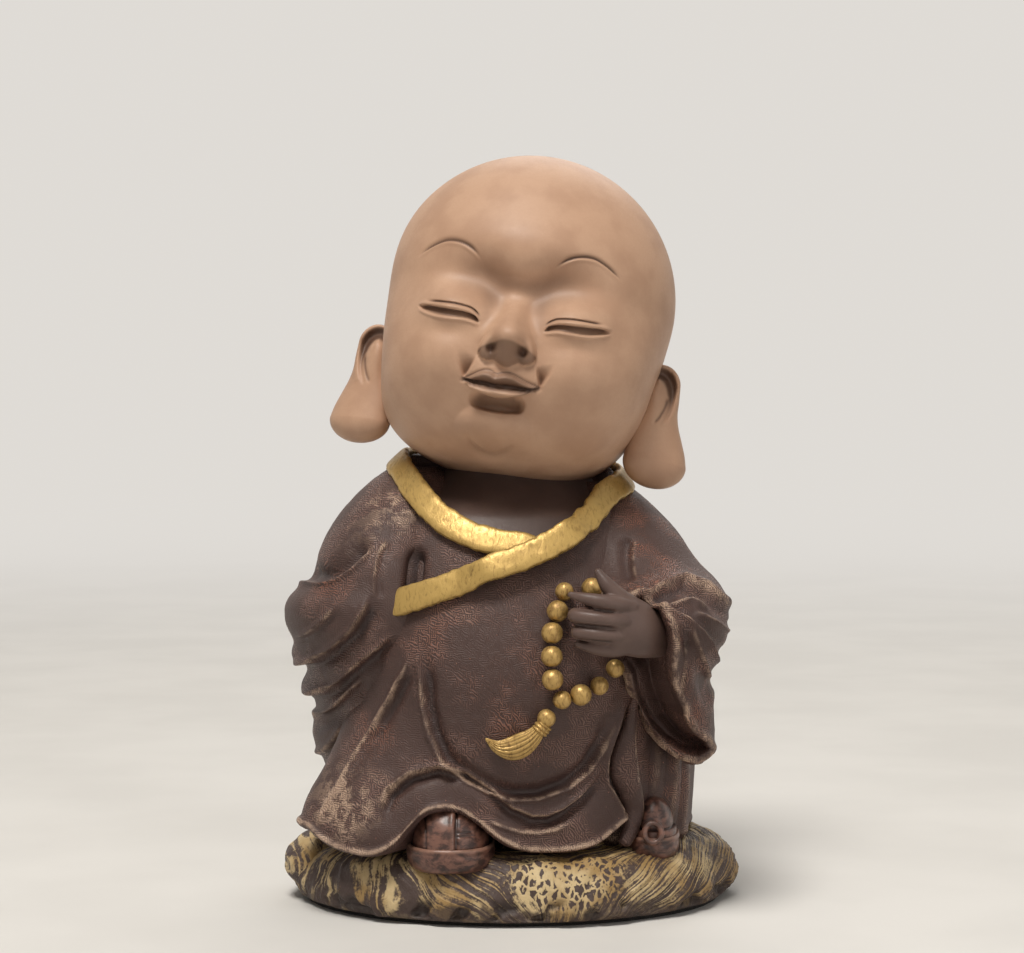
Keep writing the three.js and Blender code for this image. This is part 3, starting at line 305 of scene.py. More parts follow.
def sweep_rings(route, wide, thick, across, rows, columns, cap=6):
    """Rings of an oval tube along a route, with rounded ends. wide and thick are functions of the share."""
    centre = spline(route, rows)
    share = np.linspace(0, 1, rows)
    tangent = unit(np.gradient(centre, axis=0))
    across = np.asarray(across, float)
    side = unit(across - (tangent @ across)[:, None] * tangent)
    other = np.cross(tangent, side)
    turn = full_turn(columns)
    caps = np.sin(np.linspace(0, 1, cap + 1)[1:] * np.pi / 2 * 0.97)
    stations = [(0, -reach) for reach in caps[::-1]] + [(k, 0) for k in range(rows)]
    stations += [(rows - 1, reach) for reach in caps]
    rings = []
    for k, push in stations:
        w, t = float(wide(share[k])), float(thick(share[k]))
        middle = centre[k] + tangent[k] * push * min(w, t)
        rings.append(middle + math.sqrt(1 - push * push) * circle(turn, side[k], other[k], w, t))
    return np.array(rings)


def blend_bodies(name, bodies, voxel, smoothing, detail):
    """One skin round several ring bodies that overlap, with soft joins."""
    verts, faces, start = [], [], 0
    for rings in bodies:
        verts.append(with_ends(rings))
        body = looking_out(verts[-1], rings_faces(*rings.shape[:2]))
        faces += [[start + i for i in face] for face in body]
        start += len(verts[-1])
    form = new_object(name + "_form", new_mesh(name + "_form", np.concatenate(verts).tolist(), faces))
    remesh = form.modifiers.new("skin", "REMESH")
    remesh.mode = "VOXEL"
    remesh.voxel_size = voxel
    smooth = form.modifiers.new("smooth", "SMOOTH")
    smooth.factor = 0.5
    smooth.iterations = smoothing
    done = form.evaluated_get(bpy.context.evaluated_depsgraph_get()).to_mesh()
    points = np.array([vertex.co[:] for vertex in done.vertices])
    normals = np.array([vertex.normal[:] for vertex in done.vertices])
    skin = [list(polygon.vertices) for polygon in done.polygons]
    bpy.data.objects.remove(form)
    offset, values = detail(points, normals)
    return make_object(name, pushed(points, normals, offset), skin, values)


# Head

HEAD = dict(width=62.8, depth=60.0, height=70.4, crown=0.446, jaw_narrowing=1.6, jaw_squareness=3.05)
HEAD_PLACE = np.array([3.3, -1.0, 89.8 + 35.2])
HEAD_TURN = np.array(
    (Euler((0, math.radians(9), 0)).to_matrix() @ Euler((math.radians(-10), 0, 0)).to_matrix()
     @ Euler((0, 0, math.radians(-5))).to_matrix()))
FACE_SHIFT = 0.45


def from_head(points):
    return np.asarray(points) @ HEAD_TURN.T + HEAD_PLACE


def head_skull(direction):
    """Smooth head form, in its own frame, in the given unit directions."""
    upper = HEAD["height"] * HEAD["crown"]
    down = ease(-direction[..., 2] * 1.6)
    back = ease(direction[..., 1] * 1.5)
    square = 2 + (HEAD["jaw_squareness"] - 2) * down * (1 - 0.6 * back)
    reach = np.stack([
        HEAD["width"] / 2 - HEAD["jaw_narrowing"] * down,
        np.full(down.shape, HEAD["depth"] / 2),
        np.where(direction[..., 2] > 0, upper, HEAD["height"] - upper),
    ], axis=-1)
    total = np.sum(np.abs(direction / reach) ** square[..., None], axis=-1)
    points = direction * (total ** (-1 / square))[..., None]
    points[..., 2] += HEAD["height"] / 2 - upper
    normal = points / reach ** 2
    normal[..., 2] -= (HEAD["height"] / 2 - upper) / reach[..., 2] ** 2
    return points, unit(normal)


slit_upper = curve([
    (6.6, -7.9), (7.4, -6.95), (8.8, -6.4), (10.4, -6.25), (12.2, -6.2), (14.2, -6.05), (16.3, -5.75),
    (18.2, -5.35), (20.3, -5.3)])
slit_lower = curve([
    (6.6, -8.15), (8.2, -7.75), (9.9, -7.6), (11.6, -7.7), (13.5, -7.7), (15.4, -7.5), (17.3, -7.0),
    (19.1, -6.2), (20.4, -5.4)])
lid_crease = curve([
    (6.5, -6.8), (7.5, -5.9), (8.8, -5.2), (10.5, -4.95), (12.2, -4.85), (14.1, -4.75), (16, -4.6),
    (17.9, -4.35), (18.9, -4.2)])
brow_line = curve([
    (7.4, 5.8), (9.2, 7.4), (11.2, 8.6), (13.4, 9.3), (15.6, 9.4), (17.8, 8.7), (19.8, 7.6), (22, 6.0)])
lip_bow = curve([
    (-9.4, -20.2), (-7.6, -19.5), (-5.6, -18.4), (-4.2, -17.9), (-3.1, -18.0), (-2.0, -18.5), (-0.7, -18.1),
    (0.3, -17.9), (1.4, -18.0), (2.7, -18.5), (4.2, -19.1), (6.1, -19.6), (7.6, -19.8)])
lip_line = curve([
    (-9.4, -19.9), (-7.6, -20.0), (-6.0, -20.2), (-4.5, -20.35), (-3.0, -20.55), (-1.6, -20.6),
    (0.5, -20.5), (2.7, -20.45), (4.5, -20.3), (6.2, -20.0), (7.6, -19.5)])
lip_low = curve([
    (-8.6, -20.3), (-6.9, -20.8), (-5.1, -21.35), (-3.6, -21.7), (-1.4, -21.9), (0.7, -21.75), (2.4, -21.4),
    (4.5, -20.85), (6.0, -20.45)])


def dome(x, z, at_x, at_z, wide, high):
    """Rounded bump of height 1 with a definite foot."""
    return np.clip(1 - ((x - at_x) / wide) ** 2 - ((z - at_z) / high) ** 2, 0, 1)


def soft_union(*heights, blend=0.45):
    """Highest of several heights over the face, with soft joins."""
    return blend * np.log(sum(np.exp(np.maximum(height, 0) / blend) for height in heights) - len(heights) + 1)


ridge_rise = curve([
    (-16.9, 0), (-16.3, 0.9), (-15.2, 2.3), (-14.0, 3.5), (-12.8, 4.7), (-11.8, 5.6), (-10.9, 6.2),
    (-10.0, 6.3), (-9.0, 5.9), (-7.6, 4.8), (-6, 3.5), (-4, 2.3), (-2, 1.4), (0, 0.7), (3, 0)])
ridge_half = curve([
    (-16.5, 1.3), (-15, 1.9), (-13, 3.0), (-11, 3.9), (-9.5, 3.8), (-7.5, 3.0), (-5, 2.4), (-2, 2.5),
    (2, 3.8)])
nose_half = curve([
    (-15.9, 3.4), (-15.2, 5.2), (-14.2, 6.0), (-12.8, 6.1), (-11.4, 5.7), (-9.8, 4.8), (-8, 3.8),
    (-5, 2.8)])
nose_foot = curve([
    (-16.0, 0), (-15.5, 1.2), (-14.6, 2.3), (-13.4, 3.1), (-12.0, 3.6), (-10.5, 3.3), (-9, 2.3),
    (-7.4, 1.0), (-5.5, 0)])


def nose_height(x, z):
    """Nose as a height over the face, its nostrils, and how far a place is on its underside."""
    s = np.abs(x)
    ridge = ridge_rise(z) * np.exp(-(s / ridge_half(z)) ** 2.5)
    body = nose_foot(z) * np.clip(1 - (s / nose_half(z)) ** 4, 0, 1) ** 0.7
    between_wings = spot(s, z, 2.6, -15.2, 1.0, 0.9, 0.9)
    nostril = spot(s, z, 3.3, -13.0, 1.0, 1.0, 1.25)
    height = soft_union(ridge, body - between_wings)
    underside = ease((-11.0 - 0.055 * s ** 2 - z) / 0.9) * ease((height - 0.25) / 0.6)
    return height - 2.0 * nostril, nostril, underside


SMILE_LINES = [((-6.5, -15.0), (-7.6, -17.2), (-8.5, -19.3)), ((5.7, -15.1), (6.4, -17.2), (7.0, -19.2))]


def mouth_corners(x, z):
    """Pits beside the smile lines: steep towards the mouth, rounded towards the cheek, and painted shade in
    them.
    """
    pits = painted_shade = 0
    for route, outward in zip(SMILE_LINES, (-1, 1)):
        _, share, signed = near_route(route, x, z)
        outside = signed * outward
        along = ease(share * 1.6)
        wide = 3.3 - 2.1 * share
        above = ease((z - route[-1][1] + 0.7 - 1.1 * np.maximum(outside, 0)) / 1.3)
        reach = ease(outside / 0.75 + 0.4) * bell(np.maximum(outside, 0), wide) * above
        pits = pits - (0.3 + 2.0 * along) * reach
        painted_shade = painted_shade + (0.22 + 0.33 * along) * reach
    return pits, painted_shade


def eye_lines(s, z):
    """Slits, lids and creases of both eyes, as a height and as painted shade in the slits and creases."""
    upper, lower, crease = slit_upper(s), slit_lower(s), lid_crease(s)
    w_slit = window(s, 6.5, 20.5, 1.2, 1.6)
    w_crease = window(s, 6.4, 19.0, 1.4, 2.5)
    depth_share = np.clip((z - lower) / (upper - lower + 0.05), 0, 1)
    within = strip(z, lower, upper, 0.36, 0.3)
    slit = -within * (0.45 + 0.9 * depth_share) * w_slit
    rim = 0.42 * bell(z - (upper + crease) / 2 + 0.1, 0.5) * w_slit
    fold = -0.55 * bell(z - crease, 0.26) * w_crease
    lower_rim = 0.3 * bell(z - lower + 0.4, 0.4) * w_slit
    painted_shade = 0.8 * within * w_slit * (0.6 + 0.4 * depth_share) + 0.9 * bell(z - crease, 0.24) * w_crease
    return slit + rim + fold + lower_rim, painted_shade


def brow_lines(x, z):
    """Engraved brows with a faint ridge under each, and painted shade in the engraved lines."""
    s = np.abs(x + 1.35)
    share = window(s, 7.3, 22.2, 3.0, 3.0)
    above = z - brow_line(s)
    line = bell(above, 0.28 + 0.12 * share) * share
    return 0.2 * bell(above + 0.8, 0.35) * share - 0.5 * line, 0.85 * line


def mouth_lines(x, z):
    """Lips, their parting and the groove above them, as a height and as painted shade on the upper lip and in
    the lines.
    """
    w_mouth = window(x, -9.6, 7.9, 1.2, 1.2)
    bow, line, low = lip_bow(x), lip_line(x), lip_low(x)
    up_share = np.clip((bow - z) / (bow - line + 0.05), 0, 1)
    low_share = np.clip((line - z) / (line - low + 0.05), 0, 1)
    upper_lip = strip(z, line, bow, 0.4, 0.9) * (1.4 - 1.9 * up_share) * w_mouth
    lower_lip = strip(z, low, line, 0.4, 0.4) * window(x, -8.8, 6.6, 2.5, 2.5)
    lower_lip = lower_lip * (1.5 + 0.7 * np.sin(np.pi * low_share))
    lip_edge = -0.3 * bell(z - bow - 0.35, 0.4) * w_mouth
    parting = bell(z - line, 0.34) * w_mouth
    philtrum = -0.45 * bell(x + 1.5, 0.9) * window(z, -18.3, -15.6, 1.0, 1.0)
    painted_shade = 0.9 * parting + 0.6 * bell(z - bow - 0.5, 0.24) * w_mouth
    painted_shade = painted_shade + (0.5 + 0.4 * up_share) * ease((bow + 0.45 - z) / 0.4) * ease((z - line) / 0.3) * w_mouth
    return upper_lip + lower_lip + lip_edge + philtrum - 0.9 * parting, painted_shade


def chin_crease(x, z):
    """Share of the fold under the chin's dome."""
    route = spline([(-7.4, -29.6), (-5.8, -32.0), (-2.2, -33.4), (1.4, -32.6), (3.6, -30.4)], 20)
    away, share, _ = near_route(route, x, z)
    return bell(away, 0.65) * faded(share, 3)


def face_relief(x, z):
    """How far the face stands out from the skull: forwards, along the skin's normal, and its painted shade.
    """
    centred = x + FACE_SHIFT
    s = np.abs(centred)
    lowest = -0.6 + 3.0 * ease(s / 9)
    valley = -3.9 * bell(np.where(z > lowest, z - lowest, (lowest - z) * 0.8), 4.6) * (1 - ease((s - 6) / 17))
    brow_bone = 1.1 * spot(s, z, 0, 10.5, 5.5, 2.4)
    root = -0.5 * spot(s, z, 0, -0.8, 3.0, 1.3)
    lid = 3.1 * spot(s, z, 13.4, -4.8, 4.4, 1.4, 1.05)
    inner_corner = -0.5 * spot(s, z, 6.0, -3.2, 3.4, 1.1, 2.0)
    under_eye = -0.5 * spot(s, z, 13.5, -10.4, 1.9, 2.4)
    cheek = 2.3 * spot(s, z, 14.6, -15.6, 6.6, 1.2)
    temple = -0.5 * spot(s, z, 24, -2, 6, 0.8)
    nose, nostril, underside = nose_height(centred, z)
    muzzle = 2.1 * spot(x, z, -0.9, -19.2, 4.4, 1.5)
    hollow_reach = np.clip(1 - np.abs((x + 1.2) / 6.2) ** 2.6 - np.abs((z + 23.3) / 2.1) ** 2.6, 0, 1)
    under_lip = -2.9 * ease(hollow_reach * 1.3) - 0.8 * spot(x, z, -1.2, -24.2, 1.9, 2.6)
    chin = 2.6 * dome(x, z, -1.4, -28.9, 8.6, 5.4)
    pits, pit_painted_shade = mouth_corners(x, z)
    forward = brow_bone + valley + root + lid + inner_corner + under_eye + cheek + temple
    forward = forward + nose + muzzle + under_lip + chin + pits

    eyes, eye_painted_shade = eye_lines(s, z)
    brows, brow_painted_shade = brow_lines(x, z)
    mouth, mouth_painted_shade = mouth_lines(x, z)
    chin_line = chin_crease(x, z)
    # Painted shade in the face's lines and pits, under the nose and lower lip, and in the brow valley.
    ridge_free = 1 - bell(s, 2.6) * ease((1.5 - z) / 3)
    painted_shade = eye_painted_shade + brow_painted_shade + mouth_painted_shade + pit_painted_shade + 0.5 * nostril + 0.55 * underside
    painted_shade = painted_shade + 0.4 * ease(-valley / 3.0 - 0.2) * ridge_free + 0.28 * spot(s, z, 5.6, -5.5, 2.0, 0.9, 2.2)
    painted_shade = painted_shade + 0.5 * ease(hollow_reach * 1.4) + 0.55 * chin_line
    return forward, eyes + brows + mouth - 1.7 * chin_line, painted_shade


def build_head():
    rows, columns = 214, 462
    pole = np.array([0, -1, -0.32]) / math.hypot(1, 0.32)
    t = (np.arange(rows) + 1) / (rows + 1)
    from_pole = np.pi * (0.34 * t + 0.66 * t ** 3.6)
    turn = full_turn(columns)
    direction = sphere(from_pole, turn - 0.12 * np.sin(2 * turn), pole, np.array([1.0, 0, 0]))
    points, normal = head_skull(direction)
    facing = ease((-direction[..., 1] - 0.2) / 0.4)
    forward, fine, painted_shade = face_relief(points[..., 0], points[..., 2])
    # The right cheek hangs fuller at the jaw, below a narrower temple
    jowl = bell(np.linalg.norm((points - (-24.8, -3, -25.6)) / (1, 1.6, 1), axis=-1), 8.5)
    temple = bell(np.linalg.norm((points - (-31.4, 0, 3.0)) / (1, 1.4, 1), axis=-1), 11.0)
    points = pushed(points, normal, 1.5 * jowl - temple)
    points[..., 1] -= facing * forward
    points = from_head(pushed(points, normal, facing * fine))
    # Painted shade only on the face's front.
    return ring_body("head_skin", points, {"painted_shade": painted_shade * facing})


ear_outer = curve([
    (-27, 38.5), (-24.5, 37.9), (-21.5, 36.8), (-18.6, 35.7), (-16, 35.1), (-13.2, 35.0), (-9.5, 34.8),
    (-5.5, 34.4)])
ear_inner = curve([
    (-27, 24.9), (-23.4, 25.2), (-19.5, 26.2), (-15.5, 27.2), (-11.5, 27.4), (-9.5, 27.4), (-5.5, 27.2)])
ear_thick = curve([(-27, 5.0), (-22, 4.2), (-16, 3.2), (-10, 2.9), (-5.5, 2.6)])
EAR_RECESS = [
    (28.4, -8.6), (30.0, -7.7), (31.7, -8.2), (32.8, -9.8), (33.2, -12), (33.2, -14.6), (32.7, -17),
    (31.9, -18.9)]
EAR_GROOVE = [(32.5, -12.6), (32.3, -14.6), (31.5, -17.2), (30.2, -19.4)]
recess_width = curve([(0, 1.5), (0.35, 1.4), (0.6, 0.9), (1, 0.55)])
recess_depth = curve([(0, 2.2), (0.2, 3.0), (0.4, 2.6), (0.65, 1.3), (1, 0.3)])


def build_ear(name, side, outward, lowest):
    highest, root, lobe = -5.5, -9.5, -27
    z = ((highest + lowest) / 2 + (highest - lowest) / 2 * np.sin(np.linspace(-1.55, 1.55, 190)))[:, None]
    below = np.clip((lobe - z) / (lobe - lowest), 0, 1)
    above = np.clip((z - root) / (highest - root), 0, 1)
    rounding = np.sqrt(1 - below ** 2) * np.sqrt(1 - above ** 2)
    turn = full_turn(150)[None, :]
    outer, inner = ear_outer(z), ear_inner(z)
    x = (outer + inner) / 2 + rounding * (outer - inner) / 2 * squared(np.cos(turn), 0.86)
    depth = rounding * ear_thick(z) * squared(np.sin(turn), 0.86)
    z = np.broadcast_to(z, x.shape)
    front = ease(-np.sin(turn) / 0.35)
    distance, share, _ = near_route(spline(EAR_RECESS, 30), x, z)
    recess = recess_depth(share) * bell(distance, recess_width(share))
    rim = spline([(p + 1.5, q + 0.6) for p, q in EAR_RECESS[2:]], 24)
    helix = 0.3 * bell(near_route(rim, x, z)[0], 0.8)
    bulge = spot(x, z, 30.0, -13.4, 2.0, 1.0, 2.4)
    line, share, _ = near_route(spline(EAR_GROOVE, 16), x, z)
    groove = 0.5 * bell(line, 0.36) * faded(share, 5)
    depth = depth + front * (recess - bulge + groove - helix)
    rings = np.stack([side * (x + outward), 1.5 + 0.3 * (x - 30) + depth, z], axis=-1)
    # Painted shade in the ear's recess and groove.
    painted_shade = front * (0.85 * ease(recess / 2.0) + 1.2 * groove)
    return ring_body(name, from_head(rings), {"painted_shade": painted_shade})


# Robe

# Each section is a height and the form's left, right, front and back there
ROBE = [
    (10, -34, 30, -31, 29), (16, -35, 30.5, -33.4, 30), (24, -35, 31, -33.6, 29.6),
    (32, -34.5, 31.5, -33.2, 29), (42, -34.5, 32, -34.4, 28.4), (52, -34.5, 32.5, -34.8, 28),
    (60, -34, 32.5, -33.6, 27.4), (68, -33, 31.5, -31, 26.4), (76, -31.5, 30, -27.6, 25),
    (83, -29.5, 27.5, -23.6, 23), (89, -27, 24, -18.8, 20.5), (93, -24.5, 21, -14.6, 18.4),
    (96, -21, 18, -11, 16.5)]
RIGHT_SLEEVE = [
    (20, -36.5, -8, -4, 31), (25, -39.8, -4, -10, 35), (28, -42.4, -3, -12.4, 36),
    (32, -43.7, -2, -15, 36.5), (36.6, -44.2, -1, -18, 37), (40, -43.0, -1, -19.6, 36.6),
    (44.6, -46, -1, -22.4, 37.2), (48, -45.2, -1, -23.9, 36.4), (52.4, -47.9, -1, -25.8, 36.4),
    (54.6, -47.4, -1, -26.5, 35.6), (60, -49.2, -3, -28, 33), (64.6, -48.4, -6, -28.2, 30),
    (67.8, -44.6, -9, -27.4, 26.6), (73, -42.4, -10, -25.6, 23), (79, -39.8, -10, -22.4, 19),
    (85, -35.6, -11, -18, 16), (90, -30.4, -13, -11.5, 12), (93, -26.2, -16, -5, 7)]
LEFT_SLEEVE = [
    (31.4, 36.2, 40.4, -22, -12), (33.5, 33, 42, -26, -6), (36, 30.6, 42.7, -28, -3),
    (40.8, 27.6, 42.7, -31.4, 1.4), (45, 25.4, 42.5, -33.5, 4), (49.8, 22.4, 41.5, -36.4, 7),
    (53.4, 20.6, 43.6, -37.8, 9), (58.6, 18, 45.5, -39.5, 12), (63.7, 15.2, 46, -39.5, 15),
    (68.5, 13, 44, -35, 16), (73, 11, 39.8, -27, 16), (80, 10, 35, -20, 15), (86, 10, 29, -13.5, 12),
    (90, 12, 24, -7, 7)]
SKIRT = [(10.5, 6, 36.5, -17, 8), (20, 6, 38, -19.5, 8), (32, 6, 37.5, -20.5, 8), (46, 8, 34, -17, 8)]


def sections(rows):
    """Function that gives the middle and half sizes of a form at any height."""
    table = np.array(rows, float)
    left, right, front, back = (curve(table[:, [0, k]]) for k in (1, 2, 3, 4))

    def at(z):
        l, r, f, b = left(z), right(z), front(z), back(z)
        return (l + r) / 2, (f + b) / 2, (r - l) / 2, (b - f) / 2

    return at


def oval(at, angle, z, square):
    mid_x, mid_y, half_x, half_y = at(z)
    power = 2 / square
    return mid_x + half_x * squared(np.cos(angle), power), mid_y + half_y * squared(np.sin(angle), power)


def oval_form(table, columns, rows):
    """Angles, points and normals of a form given by its sections."""
    angle, z = turn_grid(columns, np.linspace(table[0][0], table[-1][0], rows))
    x, y = oval(sections(table), angle, z, 2.2)
    points = np.stack([x, y, z], axis=-1)
    return angle, points, surface_normals(points)


robe_at = sections(ROBE)
ROBE_SQUARE = 2.3


def turn_between(angle, degrees):
    turn = angle - math.radians(degrees)
    return np.arctan2(np.sin(turn), np.cos(turn))


def robe_flare(angle, z):
    corner = 10.5 * ease((50 - z) / 32) * bell(turn_between(angle, 203), 0.34)
    panel = 7.5 * ease((46 - z) / 30) * bell(turn_between(angle, 230), 0.4)
    side = 9.5 * ease((56 - z) / 30) * bell(turn_between(angle, 14), 0.5)
    return corner + panel + side


def robe_belly(x, z):
    return 1.6 * bell(np.hypot(x - 1.5, (z - 47) * 0.9), 21)


def robe_smooth(angle, z):
    """Robe surface without its folds."""
    x, y = oval(robe_at, angle, z, ROBE_SQUARE)
    s = np.sin(angle)
    y = y + np.where(s < 0, robe_belly(x, z) * s, 0)
    swing = robe_flare(angle, z)
    return np.stack([x + swing * np.cos(angle), y + swing * s, np.broadcast_to(z, x.shape)], axis=-1)


def robe_front(x, z):
    """Depth of the robe's front at a place."""
    mid_x, mid_y, half_x, half_y = robe_at(z)
    share = np.minimum(np.abs((x - mid_x) / half_x), 0.999)
    s = (1 - share ** ROBE_SQUARE) ** (1 / ROBE_SQUARE)
    return mid_y - half_y * s - robe_belly(x, z) * s ** (ROBE_SQUARE / 2)


def before_robe(x, z, proud):
    """Point that stands proud of the robe's front."""
    return x, float(robe_front(x, z)) - proud, z


BELLY_CREASE = [
    (-19.6, 60), (-19, 54), (-18.4, 49.9), (-18.3, 45.2), (-16.9, 39.5), (-14.1, 33.9), (-9.4, 30.1),
    (-4.7, 27.8), (0, 26.5), (5.7, 26.5), (11.4, 28.4), (16.1, 31.8), (18.9, 35.8), (21, 40.5), (23, 46)]
UNDER_FOLD = [
    (-26.6, 19.5), (-26.8, 24), (-25.4, 27.6), (-21, 31), (-15.4, 32.6), (-9.7, 31.3), (-4.1, 27.8),
    (0.1, 24.2), (4.3, 22.4), (7.5, 22.3), (10.7, 23.6), (14.4, 26.2), (17.7, 29.4), (20, 33)]
LOW_FOLD = [(-5.6, 22.6), (-1.8, 20.9), (1.9, 19.9), (5.7, 19.4), (9, 20.0), (13, 21.6)]
PANEL_RIM = [(-20.6, 56), (-22.6, 50.9), (-25.8, 44.3), (-30, 37.7), (-34.6, 30.1), (-38.8, 23.5),
             (-41, 18.8)]
PANEL_FOLD = [(-22, 52.5), (-24, 48.4), (-26.1, 44.4), (-27.9, 40.4), (-29.5, 36.6)]
FLAP_INNER = [(24.6, 46), (22.6, 41), (20.6, 34), (20.6, 28.6), (22.4, 25), (23.6, 22.6), (24, 19)]
HEM = curve([
    (-42, 18.6), (-38.7, 16.2), (-31.7, 14.6), (-28, 14.8), (-23.9, 17.1), (-21, 20.4), (-18.2, 23),
    (-14, 24.1), (-10.5, 23.4), (-7, 21.2), (-3.4, 18.3), (1.6, 15.8), (7.2, 14.8), (12.9, 15.1),
    (18.5, 16.5), (22.8, 19.2), (24.5, 20.6), (28, 18), (32, 15.5)])


def fold_line(route, x, z, height, width, groove, groove_width, side, full=0.0):
    """A rounded rim along a route, a groove on one side of it and fuller cloth on the other."""
    _, share, signed = near_route(route, x, z)
    signed = signed * side
    fade = ease(np.minimum(6 * share, 6 * (1 - share)))
    rim = height * bell(signed + width * 0.5, width * 0.7)
    cut = groove * bell(signed - groove_width * 0.8, groove_width)
    plump = full * ease(-signed / width) * np.exp(-np.maximum(-signed, 0) / 5.0)
    return (rim - cut + plump) * fade, bell(signed + width * 0.35, width * 0.48) * fade


def fold_sum(folds, x, z):
    """Sum of folds, and how much each place is a rubbed rim."""
    total, worn = np.zeros(np.shape(x)), np.zeros(np.shape(x))
    for fold in folds:
        height, rub = fold_line(fold[0], x, z, *fold[1:])
        total = total + height
        worn = np.maximum(worn, rub)
    return total, worn


def armpit_slot(x, z):
    """Narrow pocket between the right sleeve and the chest."""
    middle = -20.2 + 0.10 * (z - 72)
    return 2.8 * bell(x - middle, 1.5) * window(z, 66.5, 77.8, 3, 3.4)


# Each fold is its route, and then the values that fold_line takes
ROBE_FOLDS = [
    (BELLY_CREASE, 1.1, 0.8, 1.7, 1.5, 1, 0.4),
    (UNDER_FOLD, 1.1, 0.8, 1.5, 1.2, -1, 0.5),
    (LOW_FOLD, 0.5, 0.8, 0.5, 0.9, 1),
    (PANEL_RIM, 0.6, 0.7, 0.5, 1.3, 1),
    (PANEL_FOLD, 0.7, 0.8, 0.6, 1.2, 1),
    (FLAP_INNER, 1.1, 0.8, 1.3, 1.0, 1),
]


def robe_folds(x, z):
    total, worn = fold_sum(ROBE_FOLDS, x, z)
    _, share, signed = near_route(BELLY_CREASE, x, z)
    under_belly = -0.9 * bell(signed + 2.5, 4.5) * faded(share, 4)
    skirt = 0.35 * np.sin(0.42 * x + 0.5 + 0.06 * z) * ease((44 - z) / 20)
    return total + under_belly + skirt - armpit_slot(x, z), worn


OVER_BAND = [
    (372, 90.4), (353, 89.6), (335, 88.6), (318, 87), (302, 82.6), (289, 78.4), (276, 74.8), (262, 71.4),
    (247, 68.4), (233, 66), (221, 64.6)]
UNDER_BAND = [
    (281, 76.2), (272, 77.3), (259, 79.2), (246, 82.4), (232, 86.9), (214, 91.2), (194, 93.2), (170, 93.6),
    (145, 93.2), (118, 92.4), (90, 92), (62, 91.6), (38, 91), (12, 90.4)]


def neckline():
    """Outline of the robe's opening seen from the front."""
    points = [(float(robe_smooth(math.radians(a), z)[0]), z) for a, z in OVER_BAND[2:7] + UNDER_BAND[1:7]]
    return [(points[0][0], 104)] + points + [(points[-1][0], 104)]


HEM_LOW, ROBE_TOP = 14.6, 95.5
ROBE_MIDDLE = (-1.0, -2.0)


def turned_hem(edge, count):
    """Rings of a hem that turns in under itself and hangs hollow over the shoes, the innermost first."""
    outwards = unit(edge[:, :2] - ROBE_MIDDLE)
    lifted = ease((edge[:, 2] - 15.2) / 2)
    rings = []
    for share in np.arange(1, count + 1) / count:
        roll, hollow = ease(share / 0.4), max(0, share - 0.4) / 0.6
        rise = 2.2 * hollow if share >= 0.4 else -0.35 * math.sin(math.pi * share * 2.5)
        ring = edge.copy()
        ring[:, :2] -= outwards * (1.5 * roll + 3.0 * hollow)
        ring[:, 2] += rise * lifted - 0.2 * roll
        rings.append(ring)
    return np.array(rings[::-1])


def build_robe():
    columns, rows, under_rows = 420, 224, 5
    turn = full_turn(columns)
    angle = turn - 0.36 * np.cos(turn)
    lowest = np.full(columns, HEM_LOW)
    for _ in range(3):
        x = robe_smooth(angle, lowest)[:, 0]
        lowest = HEM_LOW + (HEM(x) - HEM_LOW) * ease((-np.sin(angle) - 0.05) / 0.25)
    z = lowest + (ROBE_TOP - lowest) * np.linspace(0, 1, rows)[:, None] ** 1.35
    angle = np.broadcast_to(angle, z.shape)
    points = robe_smooth(angle, z)
    normal = surface_normals(points)
    x = points[..., 0]
    facing = ease((-np.sin(angle) - 0.02) / 0.2)
    behind = ease((np.sin(angle) - 0.02) / 0.25)
    folds, worn = robe_folds(x, z)
    low = ease((62 - z) / 40)
    drape = 1.25 * low * (np.abs(np.sin(0.17 * x + 0.5 + 0.02 * z)) ** 0.8 - 0.5)
    opened = ease((inside_route(neckline(), x, z) + 0.4) / 1.6) * facing
    offset = facing * folds + behind * drape - 3.4 * opened
    above_hem = z - lowest
    hem_roll = 0.9 * bell(above_hem - 0.7, 0.7) * (0.35 + 0.65 * facing)
    rub = np.maximum(worn * facing, 0.5 * behind * low * ease(drape * 2))
    rub = np.maximum(rub, 1.3 * bell(above_hem - 0.9, 0.5) * facing)
    points = pushed(points, normal, offset + hem_roll)
    # Inside the neckline the cloth stands back behind the bare chest
    shrink = 1 - 0.4 * opened * ease((z - 78) / 8)
    points[..., :2] = (0, 1) + (points[..., :2] - (0, 1)) * shrink[..., None]
    points = uneven(points, normal, 0.10, 3.0)
    rings = np.concatenate([turned_hem(points[0], under_rows), points])

    def hemmed(grid, under=0.0):
        return np.concatenate([np.full((under_rows, columns), under), grid])

    # Painted shade in the fold hollows and the armpit pocket.
    hollow = np.maximum(shade(hemmed(offset)), hemmed(armpit_slot(x, z) * facing / 2.0))
    values = painted(rings[..., 0], rings[..., 2], ease((4 - rings[..., 1]) / 8))
    values.update(rub=hemmed(rub), inner=hemmed(0 * x, 1.0), hollow=hollow)
    return ring_body("robe_cloth", rings, values)


RUST_PLACES = [
    (29, 79, 7, 9, 0.9), (-39, 70, 5, 4, 0.6), (38, 44, 5, 8, 0.6), (-27, 42, 5, 9, 0.45),
    (-1, 46, 9, 14, 0.35), (-17, 62, 8, 7, 0.35), (25, 62, 5, 6, 0.5), (33, 26, 6, 12, 0.5)]
